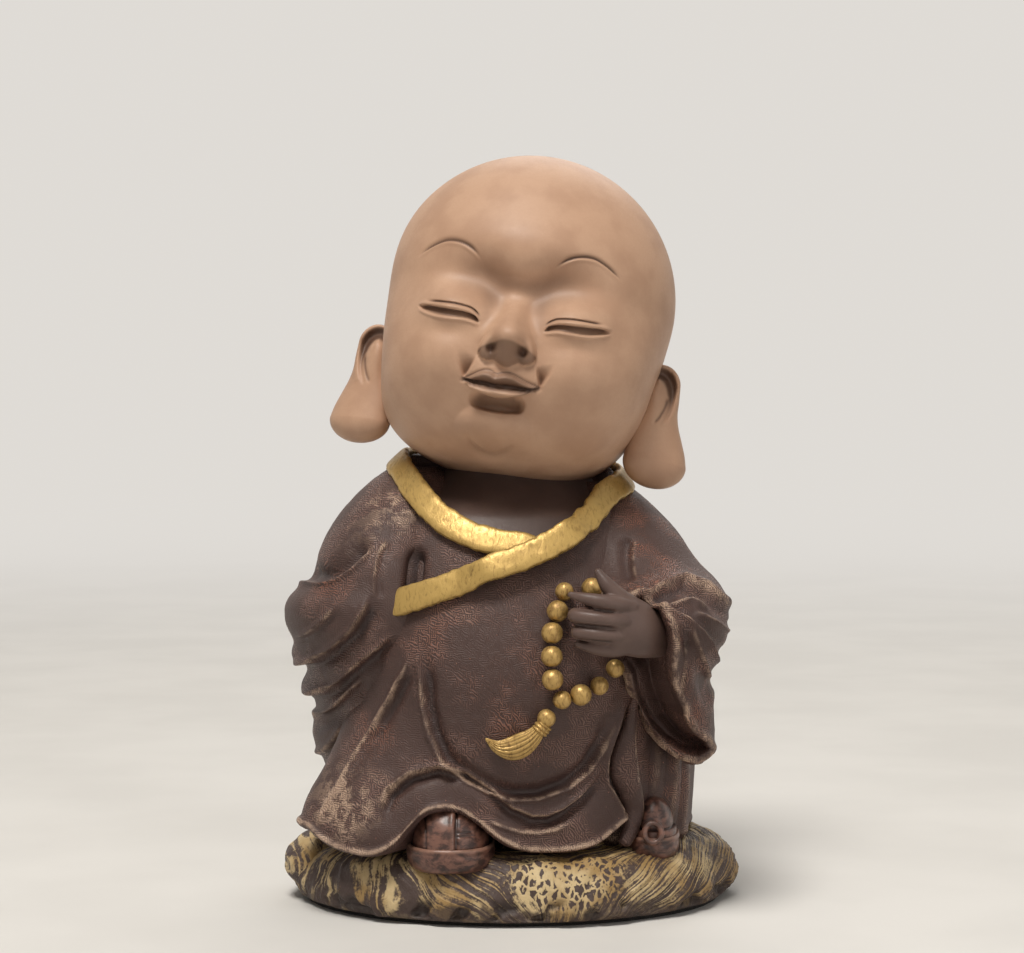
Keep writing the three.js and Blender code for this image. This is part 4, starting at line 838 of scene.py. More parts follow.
# Pale dry-brushed patches; the one on the belly at (-12, 64) is a painted sheen highlight.
PALE_BRUSH_AND_SHEEN_PLACES = [
    (-24, 85, 8, 5, 0.8), (-35, 24, 8, 8, 1.0), (-15, 30, 12, 4, 0.35), (4, 19, 16, 4, 0.3),
    (-33, 78, 8, 5, 0.4), (16, 84, 6, 4, 0.35), (-12, 64, 11, 8, 0.28), (-28, 60, 6, 10, 0.2),
    (38, 68, 6, 4, 0.35)]


def spots(places, x, z):
    return sum(much * spot(x, z, a, b, 1.0, wide, high) for a, b, wide, high, much in places)


def painted(x, z, facing):
    """Where the cloth is rusty, and where it is brushed pale or carries a painted sheen highlight."""
    rust = np.clip(spots(RUST_PLACES, x, z), 0, 1) * facing + 0.25 * (1 - facing)
    return {"rust": rust, "pale": np.clip(spots(PALE_BRUSH_AND_SHEEN_PLACES, x, z), 0, 1) * facing}


def shade(offset):
    """How deep each place lies below its surroundings, which the cloth darkens as painted shade."""
    return np.clip(blurred(offset, 30) - offset, 0, 3)


# Sleeves

RIGHT_FOLDS = [
    ([(-50, 66.6), (-45.3, 68), (-43, 69.1), (-40, 69.4), (-36.4, 70.7), (-33.3, 72.9), (-30.8, 75.4),
      (-28.6, 78.4)], 1.3, 0.9, 2.2, 1.9, 1, 1.1),
    ([(-46, 57), (-43.1, 58.4), (-40.9, 60), (-38.4, 62.3), (-36, 65)], 0.6, 0.8, 0.6, 1.0, -1),
    ([(-49, 49), (-45, 51), (-41.7, 52.4), (-39.1, 54.6), (-35.9, 57.3), (-32.8, 60.2), (-30.4, 64),
      (-28.6, 68)], 1.3, 1.0, 1.6, 1.7, -1, 0.6),
    ([(-47, 42.8), (-43, 44.2), (-40, 45.7), (-37.3, 47.6), (-33.7, 51), (-31, 53.7), (-27.5, 56.4),
      (-24, 59.6)], 1.2, 1.0, 1.5, 1.7, -1, 0.6),
    ([(-46, 36), (-43, 38), (-40.4, 40), (-37.5, 42.6), (-34, 46.6), (-30, 50)], 1.0, 1.0, 1.2, 1.6, -1, 0.4),
    ([(-44, 28), (-41, 31), (-38, 34.6), (-35, 39)], 0.8, 1.0, 0.8, 1.4, -1),
    ([(-28.0, 66), (-28.3, 71), (-27.4, 76), (-25.8, 78.6)], 0.4, 0.7, 0.4, 0.9, -1),
]
LEFT_FOLDS = [
    ([(23, 65.6), (27.9, 68.1), (31, 69.7), (35.7, 70.9), (40.5, 69), (44.6, 65.3), (47, 62)],
     1.2, 0.8, 1.7, 1.2, -1, 0.3),
    ([(28, 65.4), (33, 67.4), (37, 67.8), (41.5, 65.6)], 0.7, 0.8, 0.4, 0.8, 1),
    ([(30, 67), (32.9, 65.6), (36.1, 64), (38.9, 61.5), (40.8, 59), (42.4, 55.5), (44, 52)],
     1.0, 0.8, 1.0, 1.2, 1, 0.4),
    ([(37.4, 65.6), (39.8, 64.3), (42, 63), (44.2, 61.2), (46.4, 59)], 0.7, 0.7, 0.6, 0.9, 1),
    ([(35.4, 64.5), (36.7, 59.9), (38, 56.8), (39.5, 53), (40.8, 49.9), (41.6, 47), (42, 43)],
     0.9, 0.8, 1.1, 1.5, -1),
    ([(36.2, 60), (36.4, 55.5), (35.8, 51), (35.2, 46)], -0.9, 1.3, 0, 1, 1),
    ([(25.6, 79), (24.9, 76.5), (24.8, 74), (25.4, 70.4)], 0.3, 0.9, 1.0, 1.4, -1),
]
SLEEVE_MOUTH = [
    (10, 67.4), (23.6, 66.9), (26.4, 67.5), (30.2, 65.3), (32.0, 61.6), (32.4, 58.5), (32.1, 54.7),
    (32.5, 50.4), (33.6, 47.6), (34.7, 45.4), (35.2, 42.9), (37, 39.7), (39.8, 37.2), (40.8, 35.2),
    (38.6, 34.2), (35.3, 35.0), (32.2, 37.1), (28.9, 40.5), (26.7, 44.6), (25.6, 48.4), (24.9, 51.9),
    (23.6, 53.5), (10, 53.5)]


def mouth_hollow(outline, x, z, facing):
    """Share of the hollow in a sleeve's mouth, its rim, and how far the cloth is set back in it."""
    depth_in = inside_route(outline, x, z)
    hollow = ease((depth_in + 0.1) / 0.9) * facing
    rim = bell(depth_in + 0.85, 0.85) * facing
    return hollow, rim, (5.0 * hollow + 7.5 * ease(depth_in / 4.5) * facing) * ease((x - 8) / 6)


def build_sleeve(name, table, folds, top_fade, mouth=None):
    angle, points, normal = oval_form(table, 330, 290)
    x, y, z = np.moveaxis(points.copy(), -1, 0)
    facing = ease((0.15 - np.sin(angle)) / 0.3)
    behind = ease((np.sin(angle) - 0.1) / 0.35)
    total, worn = fold_sum(folds, x, z)
    phase = 2 * np.pi * (z + 0.42 * (y - 4)) / 9.5
    back_fold = (np.abs(np.sin(phase / 2)) ** 0.9 - 0.55) * window(z, table[0][0], top_fade, 4, 16)
    total = facing * (total - armpit_slot(x, z)) + behind * back_fold
    worn = np.maximum(facing * (0.75 * worn), behind * ease((back_fold - 0.15) * 3) * 0.7)
    hollow = 0.0
    if mouth is not None:
        hollow, rim, back = mouth_hollow(mouth, x, z, facing)
        total = total * (1 - hollow) + 1.1 * rim
        worn = np.maximum(worn * (1 - hollow), rim)
        points[..., 1] += back
    points = uneven(pushed(points, normal, total), normal, 0.10, 3.0)
    values = painted(points[..., 0], points[..., 2], facing)
    # Places that lie deeper than their surroundings get painted shade.
    values.update(rub=worn, inner=hollow, hollow=shade(total))
    return ring_body(name, points, values)


def build_skirt():
    angle, points, normal = oval_form(SKIRT, 200, 120)
    x, y, z = np.moveaxis(points, -1, 0)
    fold = 0.9 * (np.abs(np.sin(0.5 * (x - 0.12 * z) + 0.3 * y)) ** 0.8 - 0.5) * ease((46 - z) / 14)
    hem = 0.7 * bell(z - 15.5, 1.0)
    values = painted(x, z, ease(-np.sin(angle) * 3))
    # The fold troughs get painted shade.
    values.update(rub=np.maximum(ease((fold - 0.15) * 3) * 0.5, hem), inner=0.0, hollow=np.clip(-fold, 0, 1))
    return ring_body("inner_skirt_cloth", pushed(points, normal, fold + hem), values)


FLAP = [(25.4, 46), (24.6, 41), (23.4, 35), (23.4, 30), (24.6, 26), (25.4, 22), (24.8, 18.4), (23.6, 15.6)]


def build_flap():
    columns = 60
    wide = curve([(0, 0.8), (0.2, 1.6), (0.45, 3.0), (0.7, 2.5), (1, 1.5)])
    thick = curve([(0, 0.9), (0.3, 1.5), (0.8, 1.6), (1, 1.1)])
    rings = sweep_rings([before_robe(x, z, 0.4) for x, z in FLAP], wide, thick, (1, 0, 0), 110, columns)
    turn = full_turn(columns)
    # The flap's back, against the robe, is drawn in and gets painted shade.
    hollow = bell(turn_between(turn, -90), 0.5)
    rings = rings + (rings.mean(axis=1, keepdims=True) - rings) * (0.35 * hollow)[:, None]
    return ring_body("robe_front_edge", rings, {"rub": np.cos(turn) ** 8, "inner": 0.0, "hollow": hollow})


# Collar, neck


def robe_frames(angle, z):
    point = robe_smooth(angle, z)
    around = robe_smooth(angle + 0.02, z) - robe_smooth(angle - 0.02, z)
    up = robe_smooth(angle, z + 1) - robe_smooth(angle, z - 1)
    return point, unit(np.cross(around, up))


def build_band(name, route, lift_at, seed):
    rows, columns = 330, 44
    way = spline(route, rows)
    point, normal = robe_frames(np.radians(way[:, 0]), way[:, 1])
    point = blurred(point, 6, wrap=False)
    across = unit(np.cross(normal, np.gradient(point, axis=0)))
    across *= np.sign(across[:, 2]).mean()
    turn = full_turn(columns)
    power = 2 / 3.6
    side = squared(np.cos(turn), power)
    out = 0.5 + 0.5 * squared(np.sin(turn), power)
    share = np.linspace(0, 1, rows)
    ragged = 0.30 * noise(point + seed, 3.2) + 0.2 * noise(point + 50 + seed, 1.3)
    half = 2.8 + ragged + 0.35 * ease((share - 0.75) * 4)
    ends = 0.6 + 0.4 * faded(share, 60)
    lift = 0.45 + lift_at(way[:, 0])
    rings = (point[:, None] + across[:, None] * (half[:, None] * side * ends[:, None])[..., None]
             + normal[:, None] * (lift[:, None] + 1.9 * out)[..., None])
    beaten = 0.09 * noise(rings + seed, 2.6) + 0.04 * noise(rings + 9, 1.1)
    dents = -0.16 * ease((noise(rings + 31 + seed, 2.1) - 0.45) * 3)
    upper = ease(out * 1.6)
    rings = pushed(rings, from_middle(rings), (beaten + dents) * upper)
    rub = np.clip(np.abs(side) ** 6 * upper + beaten * 2, 0, 1)
    # The dents get painted shade.
    return ring_body(name, rings, {"rub": rub, "hollow": np.clip(-dents * 3, 0, 1)})


def under_lift(degrees):
    return 0 * degrees


def over_lift(degrees):
    reach = np.abs(degrees - 278) / 17
    return 2.2 * ease(2 - reach * 1.4)


def build_neck():
    angle, z = turn_grid(200, np.linspace(64, 99, 110))
    point, normal = robe_frames(angle, np.minimum(z, 95))
    under_pocket = 2.8 * bell(point[..., 0] + 20, 5) * ease((82 - z) / 4) * ease(-np.sin(angle) * 3)
    chest = pushed(point, normal, -1.6 - under_pocket)
    chest[..., 2] = z
    lean = 1.8 * (z - 64) / 35
    round_neck = np.stack([lean + 15.2 * np.cos(angle), 1.4 + 14.2 * np.sin(angle), z], axis=-1)
    blend = ease((z - 83) / 11)[..., None]
    rings = chest * (1 - blend) + round_neck * blend
    # Painted shade over the neck and chest, deeper towards the head.
    return ring_body("neck_skin", rings, {"painted_shade": 0.3 + 0.25 * ease((z - 84) / 10)})


# Hands

UPRIGHT = (0, 0, 1)
PALM = [(33, -26.5, 58.4), (29.4, -32.1, 59.6), (25.6, -36.9, 61.4), (21.6, -39.3, 62.4)]
THUMB = [(25.6, -36.5, 64.6), (22, -38.1, 67.6), (19.4, -38.5, 70.4), (17.5, -37.9, 73.1)]
FINGERS = [
    ([(24, -38.5, 66), (20.1, -40.7, 67), (16, -41.1, 67.9), (11.8, -39.9, 68.8)], (1.9, 1.75, 1.3, 0.65)),
    ([(24, -38.9, 63.2), (20.4, -41.1, 63.6), (16.4, -41.6, 64.2), (12.8, -40, 64.6), (12.9, -37.7, 64.4)],
     (1.9, 1.8, 1.65, 1.45)),
    ([(24, -38.5, 60.6), (20.2, -40.8, 60.5), (16.6, -41.2, 60.9), (13.4, -39.7, 61.2), (13.4, -37.5, 61)],
     (1.85, 1.75, 1.6, 1.4)),
    ([(24, -37.5, 58.2), (19.8, -39.7, 57.6), (16.6, -39.9, 58), (13.4, -38.7, 58.6)], (1.8, 1.6, 1.3, 0.8)),
]
FINGER_CUTS = [[(21.5, 65.4), (12, 66.4)], [(21.5, 62.2), (12.6, 62.9)], [(21.2, 59.3), (13, 59.8)]]
RIGHT_PALM = [(-8, 31.6, 44.5), (-2, 32.4, 44), (4, 32.6, 43), (9, 32, 41.6)]
RIGHT_FINGER = np.array([(6, 35, 46.4), (11, 35.2, 45.8), (13.6, 32.6, 45.4)])


def finger(route, widths, rows):
    radius = curve(widths)
    return sweep_rings(route, radius, radius, UPRIGHT, rows, rows)


def left_hand_detail(points, normals):
    """Cuts between the fingers, with painted shade in them, and the nail of the first one."""
    x, z = points[:, 0], points[:, 2]
    cuts = np.zeros(len(points))
    for route in FINGER_CUTS:
        distance, share, _ = near_route(route, x, z)
        cuts = np.maximum(cuts, bell(distance, 0.4) * ease(share * 5))
    front = ease(-normals[:, 1] * 1.5)
    nail = spot(x, z, 12.2, 68.9, 0.8, 0.9, 0.5) * front
    return -0.3 * cuts * front - 0.12 * nail, {"painted_shade": 0.7 * cuts * front}


def build_left_hand():
    wide = curve([(0, 3.6), (0.33, 4.4), (0.66, 5.6), (1, 5.6)])
    thick = curve([(0, 3.0), (0.33, 3.4), (0.66, 3.6), (1, 2.6)])
    bodies = [sweep_rings(PALM, wide, thick, UPRIGHT, 30, 40)]
    for route, widths in FINGERS:
        bodies.append(finger(route, list(zip((0, 0.35, 0.7, 1), widths)), 24))
    bodies.append(finger(THUMB, [(0, 2.9), (0.4, 2.2), (0.7, 1.7), (1, 0.9)], 24))
    return blend_bodies("left_hand_skin", bodies, 0.24, 4, left_hand_detail)


def plain_detail(points, normals):
    return 0 * normals[:, 0], {"painted_shade": 0 * points[:, 0]}


def build_right_hand():
    wide = curve([(0, 4), (0.4, 5), (0.7, 6), (1, 4.6)])
    thick = curve([(0, 3), (0.4, 3.6), (0.7, 4), (1, 3)])
    bodies = [sweep_rings(RIGHT_PALM, wide, thick, UPRIGHT, 24, 36)]
    for k in range(4):
        bodies.append(finger(RIGHT_FINGER + (0, 0, -2.9 * k), [(0, 1.7), (0.6, 1.65), (1, 1.35)], 20))
    return blend_bodies("right_hand_skin", bodies, 0.28, 5, plain_detail)


# Beads and tassel

BEADS = [
    (15.4, 68.3, 0.2, 2.2), (10.2, 67.9, 0.1, 1.9), (8.8, 64.1, 0, 2.2), (7.7, 60.0, 0, 2.2),
    (7.6, 55.6, 0, 2.2), (7.7, 51.2, 0, 2.2), (9.6, 47.2, 0, 1.9), (13.1, 48.1, 0, 2.2),
    (16.8, 49.6, 0, 1.9), (19.8, 52.8, 0.2, 1.9)]
TASSEL_BEAD = (6.6, 43.6, 0, 1.9)


def front_normal(x, z):
    step = 0.5
    slope_x = (robe_front(x + step, z) - robe_front(x - step, z)) / (2 * step)
    slope_z = (robe_front(x, z + step) - robe_front(x, z - step)) / (2 * step)
    return unit(np.array([slope_x, -1, slope_z], float))


def bead_place(x, z, proud, radius):
    return np.array(before_robe(x, z, 0)) + front_normal(x, z) * (radius + 0.3 + proud)


def build_bead(name, centre, radius, seed, axis):
    polar = polar_steps(40)
    axis = unit(np.asarray(axis, float))
    direction = sphere(polar, full_turn(60), axis, unit(np.cross(axis, (0.3, 0.9, 0.2))))
    size = radius * (1 + 0.018 * noise(direction + seed, 0.7) - 0.05 * bell(np.sin(polar), 0.3)[:, None])
    # The string holes get painted shade.
    hole = bell(np.sin(polar), 0.24)[:, None]
    return ring_body(name, pushed(centre, direction, size), {"hollow": hole, "rub": 0.0})


TASSEL = [(5.6, 40.9), (3.4, 38.8), (0.4, 37.2), (-2.8, 37.4), (-5.2, 39)]


def build_tassel():
    wide = curve([(0, 1.4), (0.15, 1.9), (0.35, 2.5), (0.6, 2.3), (0.8, 1.3), (1, 0.3)])
    thick = curve([(0, 1.5), (0.2, 2.0), (0.5, 2.0), (0.8, 1.3), (1, 0.35)])
    columns = 90
    route = [before_robe(x, z, 1.9) for x, z in TASSEL]
    rings = sweep_rings(route, wide, thick, UPRIGHT, 120, columns, cap=5)
    along = np.linspace(0, 1, len(rings))[:, None]
    strands = np.sin(8 * full_turn(columns) + 1.6 * along + 0.5 * np.sin(3 * along * np.pi))
    strands = np.abs(strands) ** 0.7
    # The gaps between the strands are drawn in and get painted shade.
    hollow = (1 - strands) * ease(along * 8) * ease((1 - along) * 6)
    rings = pushed(rings, from_middle(rings), -0.34 * hollow)
    return ring_body("tassel_strands", rings, {"hollow": hollow, "rub": strands * 0.3})


def build_tassel_cap():
    x, y, z = before_robe(*TASSEL[0], 2.2)
    centre = np.array([x + 0.5, y, z + 0.5])
    axis, side = np.array([0.62, 0, 0.78]), np.array([0, 1.0, 0])
    about = circle(full_turn(48), side, np.cross(axis, side))
    windings = 3
    rings = []
    for t in np.linspace(-1, 1, 50):
        radius = 1.55 + 0.28 * abs(math.sin(windings * math.pi * (t + 1) / 2)) - 0.5 * t ** 6
        rings.append(centre + axis * 1.25 * t + radius * about)
    return ring_body("tassel_binding", np.array(rings), {"hollow": 0.0, "rub": 0.0})


# Shoes

# Each shoe is its middle, its front, its width and its length
RIGHT_SHOE = (-12.8, -38.2, 18.5, 26)
LEFT_SHOE = (29.8, -25, 11.5, 22)
SOLE_TOP = 15.6
SOLE_PROFILE = [
    (2.6, -4.6), (1.3, -4.3), (0.6, -3.6), (0.2, -2.6), (0.0, -1.4), (0.1, -0.5), (0.0, 0.0), (0.15, 0.5),
    (0.5, 0.75), (0.9, 0.5), (1.2, 0.0), (2.2, -0.1)]


def shoe_plan(size, angle, inset, power):
    x, front, width, length = size
    return (x + (width / 2 - inset) * squared(np.cos(angle), power),
            front + length / 2 + (length / 2 - inset) * squared(np.sin(angle), power))


def build_sole(name, size):
    inset, height = spline(SOLE_PROFILE, 40).T[..., None]
    px, py = shoe_plan(size, full_turn(160), inset, 0.8)
    rings = np.stack([px, py, SOLE_TOP + height + 0 * px], axis=-1)
    rings = uneven(rings, surface_normals(rings), 0.12, 3)
    # Where the sole tucks in, at its foot and under the upper, it gets painted shade.
    return ring_body(name, rings, {"rub": bell(height - 0.6, 0.5), "hollow": ease((inset - 0.9) / 0.6)})


def build_upper(name, size, height, strap):
    share = np.sin(np.linspace(0, np.pi / 2, 90) * 0.99)[:, None]
    inset = 1.1 + (size[2] / 2 - 1.1) * (1 - (1 - share ** 2.4) ** 0.46)
    px, py = shoe_plan(size, full_turn(200), inset, 0.84)
    pz = SOLE_TOP - 0.3 + height * share + 0 * px
    rings = np.stack([px, py, pz], axis=-1)
    raised, cut = strap(px, py, pz)
    rings = pushed(rings, surface_normals(rings), raised - cut + 0.12 * rough(rings, 4, 3))
    # The seams and stitches get painted shade.
    return ring_body(name, rings, {"rub": np.clip(raised, 0, 1) * 0.4, "hollow": np.clip(cut * 3, 0, 1)})


def right_strap(px, py, pz):
    """A band that runs from the toe up the instep, edged by two seams."""
    left, right = -17.2 - 0.03 * (pz - 16), -11.7
    band = strip(px, left, right, 0.5, 0.5)
    ahead = ease((-22 - py) / 2)
    edge = bell(px - right + 0.6, 0.5)
    seams = np.maximum(bell(px - left + 0.3, 0.3), bell(px - right - 0.3, 0.3)) * ahead
    cross = np.maximum(bell(pz - 19.6, 0.25), bell(pz - 18.9, 0.25)) * window(px, -11.4, -7.6, 0.5, 1)
    return (0.6 * band + 0.3 * edge) * ahead, 0.45 * seams + 0.25 * cross * ahead


def left_strap(_px, _py, pz):
    """A band across the toe that carries the ring."""
    height = 16.8
    band = strip(pz, height - 0.9, height + 0.9, 0.4, 0.4)
    seams = np.maximum(bell(pz - height + 1.1, 0.25), bell(pz - height - 1.1, 0.25))
    return 0.5 * band, 0.4 * seams


def build_buckle():
    centre = np.array([29.4, -25.4, 17.6])
    rows, columns, wire = 90, 30, 0.62
    face = unit(np.array([0, -1, 0.32]))
    side = np.array([1.0, 0, 0])
    up = np.cross(side, face)
    up *= np.sign(up[2])
    tube = full_turn(columns)
    loop = circle(full_turn(rows), side, up, 1.75, 2.05)
    verts = np.concatenate([centre + ring + wire * circle(tube, unit(ring), face) for ring in loop])
    i = np.arange(rows)[:, None] * columns
    j = np.arange(columns)[None, :]
    n, m = (i + columns) % (rows * columns), (j + 1) % columns
    faces = np.stack([i + j, n + j, n + m, i + m], axis=-1).reshape(-1, 4).tolist()
    values = {"rub": np.full(len(verts), 0.35), "hollow": np.zeros(len(verts))}
    return make_object("left_shoe_ring", verts, faces, values)


# Base

BASE_WIDTH, BASE_DEPTH = 97.8, 78.0
BASE_ROUND = 44
BASE_PROFILE = [
    (3.0, 1.0), (1.6, 1.3), (0.6, 2.4), (0.1, 3.8), (0.0, 5.2), (0.5, 7.2), (1.6, 9.4), (3.4, 11.2),
    (6.0, 12.6), (9.5, 13.4), (15.0, 13.7), (24, 13.6)]
CURL_SIZE = np.array([6.4, 9, 6.25])
base_slant = curve([
    (0, -2.6), (60, -0.3), (120, 0.3), (180, 0.0), (225, 0.05), (250, 0.75), (272, 1.1), (292, -1.3),
    (315, -2.4), (340, -3.0), (360, -2.6)])


def build_base():
    angle = full_turn(820)
    degrees = np.degrees(angle)
    profile = spline(BASE_PROFILE, 110)
    inset, z = profile.T[..., None]
    wave = 0.9 * (np.sin(5 * angle + 0.7) + 0.6 * np.sin(11 * angle + 2)) / (BASE_WIDTH / 2)
    scale = 1 + wave * ease((14 - inset) / 10) * ease((z - 1) / 1.5)
    rings = np.stack([np.cos(angle) * (BASE_WIDTH / 2 - 0.9 - inset) * scale,
                      np.sin(angle) * (BASE_DEPTH / 2 - 0.9 - inset * 0.62) * scale,
                      z + 0 * scale], axis=-1)
    down = lengths(profile)[:, None]
    lean = angle + (base_slant(degrees) * (down - 16) + 2.6 * noise(rings, 9)) / BASE_ROUND
    around = np.stack([BASE_ROUND * np.cos(lean), BASE_ROUND * np.sin(lean)], axis=-1)

    def furrows(stretch, size):
        return noise(np.concatenate([around, (down / stretch + 0 * lean)[..., None]], axis=-1), size)

    patch = spot(degrees, down, 284, 12.5, 1.0, 19, 8.5)
    ribs = 1 - np.abs(furrows(6, 2.4)) * 2.2
    chips = -1.3 * ease((noise(rings + 70, 5.0) - 0.1) * 3) * ease((6.5 - z) / 3)
    chips = chips - 0.5 * ease((noise(rings + 30, 2.2) - 0.2) * 3) * ease((5 - z) / 3)
    outer = ease((16 - inset) / 6)
    offset = 1.2 * rough(rings, 11, 4) * outer + 0.5 * furrows(3.5, 4.2) + 0.3 * ribs * (1 - patch) + chips
    rings = pushed(rings, surface_normals(rings), offset * ease((z - 1.0) / 1.2))
    return ring_body("base_rock", rings, {
        "flow_x": around[..., 0], "flow_y": around[..., 1], "flow_z": down, "patch": patch,
        "hollow": np.clip(-chips, 0, 1), "height": z})


def build_curl():
    """Rolled end of the base at its right side."""
    wide, deep, high = CURL_SIZE
    direction = sphere(polar_steps(110), full_turn(160), np.array([0, 0, 1.0]), np.array([1.0, 0, 0]))
    rings = np.array([wide - BASE_WIDTH / 2, -4, high + 1.4]) + direction * CURL_SIZE
    reach = np.hypot(direction[..., 0] + 1, direction[..., 2])
    ribs = np.sin(3.2 * reach * 2 + 1.5 * noise(rings, 4))
    rings = pushed(rings, direction, 0.25 * ribs + 0.5 * rough(rings, 7, 3))
    return ring_body("base_rolled_end", rings, {
        "flow_x": wide * reach, "flow_y": 0.0, "flow_z": deep * direction[..., 1], "patch": 0.0,
        "hollow": 0.0, "height": rings[..., 2]})


# Materials


def srgb(r, g, b):
    """Linear colour from 0-255 display values."""
    def linear(v):
        v = v / 255
        return v / 12.92 if v <= 0.04045 else ((v + 0.055) / 1.055) ** 2.4
    return (linear(r), linear(g), linear(b), 1.0)


class Nodes:
    """Short way to write a material's node tree."""

    def __init__(self, name):
        self.material = bpy.data.materials.new(name)
        self.material.use_nodes = True
        self.tree = self.material.node_tree
        self.shader = self.tree.nodes["Principled BSDF"]
        self.output = self.tree.nodes["Material Output"]

    def add(self, kind, inputs=(), **settings):
        """Node with values or links for its sockets, which are given by name or number."""
        node = self.tree.nodes.new(kind)
        for key, value in settings.items():
            setattr(node, key, value)
        for key, value in dict(inputs).items():
            self.set(node.inputs[key], value)
        return node

    def set(self, socket, value):
        if isinstance(value, bpy.types.NodeSocket):
            self.tree.links.new(value, socket)
        else:
            socket.default_value = value

    def math(self, operation, a, b, clamp=False):
        return self.add("ShaderNodeMath", {0: a, 1: b}, operation=operation, use_clamp=clamp).outputs[0]

    def vector(self, operation, inputs):
        return self.add("ShaderNodeVectorMath", inputs, operation=operation).outputs[0]

    def range(self, value, low, high, to_low=0.0, to_high=1.0):
        limits = {"Value": value, "From Min": low, "From Max": high, "To Min": to_low, "To Max": to_high}
        return self.add("ShaderNodeMapRange", limits, interpolation_type="SMOOTHSTEP").outputs[0]

    def mix(self, share, a, b):
        return self.add("ShaderNodeMix", {0: share, 6: a, 7: b}, data_type="RGBA").outputs[2]

    def between(self, share, a, b):
        return self.add("ShaderNodeMix", {0: share, 2: a, 3: b}, data_type="FLOAT").outputs[0]

    def places(self):
        return self.add("ShaderNodeNewGeometry").outputs["Position"]

    def value(self, name):
        return self.add("ShaderNodeAttribute", attribute_name=name, attribute_type="GEOMETRY").outputs["Fac"]

    def marked(self, name, colour, tint, low, much):
        """Colour tinted where a value of the mesh is high."""
        return self.mix(self.range(self.value(name), low, 1.0, 0.0, much), colour, tint)

    def noise(self, vector, size, detail=3.0, roughness=0.5, kind="FBM", output="Fac"):
        inputs = {"Vector": vector, "Scale": 1 / (size * MM), "Detail": detail, "Roughness": roughness}
        return self.add("ShaderNodeTexNoise", inputs, noise_type=kind, normalize=True).outputs[output]

    def cells(self, vector, size, feature="DISTANCE_TO_EDGE"):
        inputs = {"Vector": vector, "Scale": 1 / (size * MM)}
        return self.add("ShaderNodeTexVoronoi", inputs, feature=feature).outputs["Distance"]

    def warped(self, vector, size, amount):
        """Places pushed about by noise, so that patterns don't run straight."""
        push = self.noise(vector, size, 2.0, output="Color")
        centred = self.vector("SUBTRACT", {0: push, 1: (0.5, 0.5, 0.5)})
        scaled = self.vector("SCALE", {0: centred, "Scale": 2 * amount * MM})
        return self.vector("ADD", {0: vector, 1: scaled})

    def stretched(self, vector, scale):
        return self.add("ShaderNodeMapping", {"Vector": vector, "Scale": scale}).outputs[0]

    def bump(self, height, distance, strength, normal=None):
        node = self.add("ShaderNodeBump", {"Height": height, "Distance": distance * MM, "Strength": strength})
        if normal is not None:
            self.set(node.inputs["Normal"], normal)
        return node.outputs[0]

    def finish(self, **sockets):
        for key, value in sockets.items():
            self.set(self.shader.inputs[key.replace("_", " ")], value)
        return self.material


def skin_material(name, light, deep, painted_shade_colour, roughness):
    m = Nodes(name)
    at = m.places()
    mottle = m.noise(at, 9.0, 4.0)
    grain = m.noise(at, 0.45, 2.0)
    colour = m.mix(m.range(mottle, 0.35, 0.68), light, deep)
    colour = m.mix(m.range(grain, 0.3, 0.75, 0.0, 0.14), colour, deep)
    # Painted shade, as strong as the mesh's value for it.
    colour = m.mix(m.range(m.value("painted_shade"), 0.05, 0.95, 0.0, 0.9), colour, painted_shade_colour)
    pits = m.range(m.cells(at, 0.8, "F1"), 0.0, 0.22)
    normal = m.bump(grain, 0.035, 0.6)
    normal = m.bump(pits, 0.02, 0.35, normal)
    return m.finish(Base_Color=colour, Roughness=m.range(grain, 0.2, 0.8, roughness - 0.06, roughness + 0.06),
                    Specular_IOR_Level=0.35, Normal=normal)


def crackle(m, at):
    """Fine crackle of the cloth: waves that turn this way and that, and pebbles between them."""
    spacing = 0.43
    shape = {"Vector": at, "Scale": 0.314 / (spacing * MM), "Distortion": 6.0, "Detail": 1.0,
             "Detail Scale": 1.25, "Detail Roughness": 0.5}
    waves = []
    for way in ("Z", "X", "DIAGONAL"):
        wave = m.add("ShaderNodeTexWave", shape, wave_type="BANDS", bands_direction=way)
        waves.append(m.range(wave.outputs["Fac"], 0.1, 0.9))
    turned = m.noise(at, 1.9, 1.0)
    lines = m.between(m.range(turned, 0.42, 0.5), waves[0], waves[1])
    lines = m.between(m.range(turned, 0.52, 0.6), lines, waves[2])
    pebble = m.noise(m.warped(at, 0.7, 0.2), 0.46, 2.0, 0.5, "RIDGED_MULTIFRACTAL")
    return m.between(m.range(m.noise(at, 9.0, 2.0), 0.4, 0.6, 0.35, 0.75), lines, m.range(pebble, 0.35, 0.85))


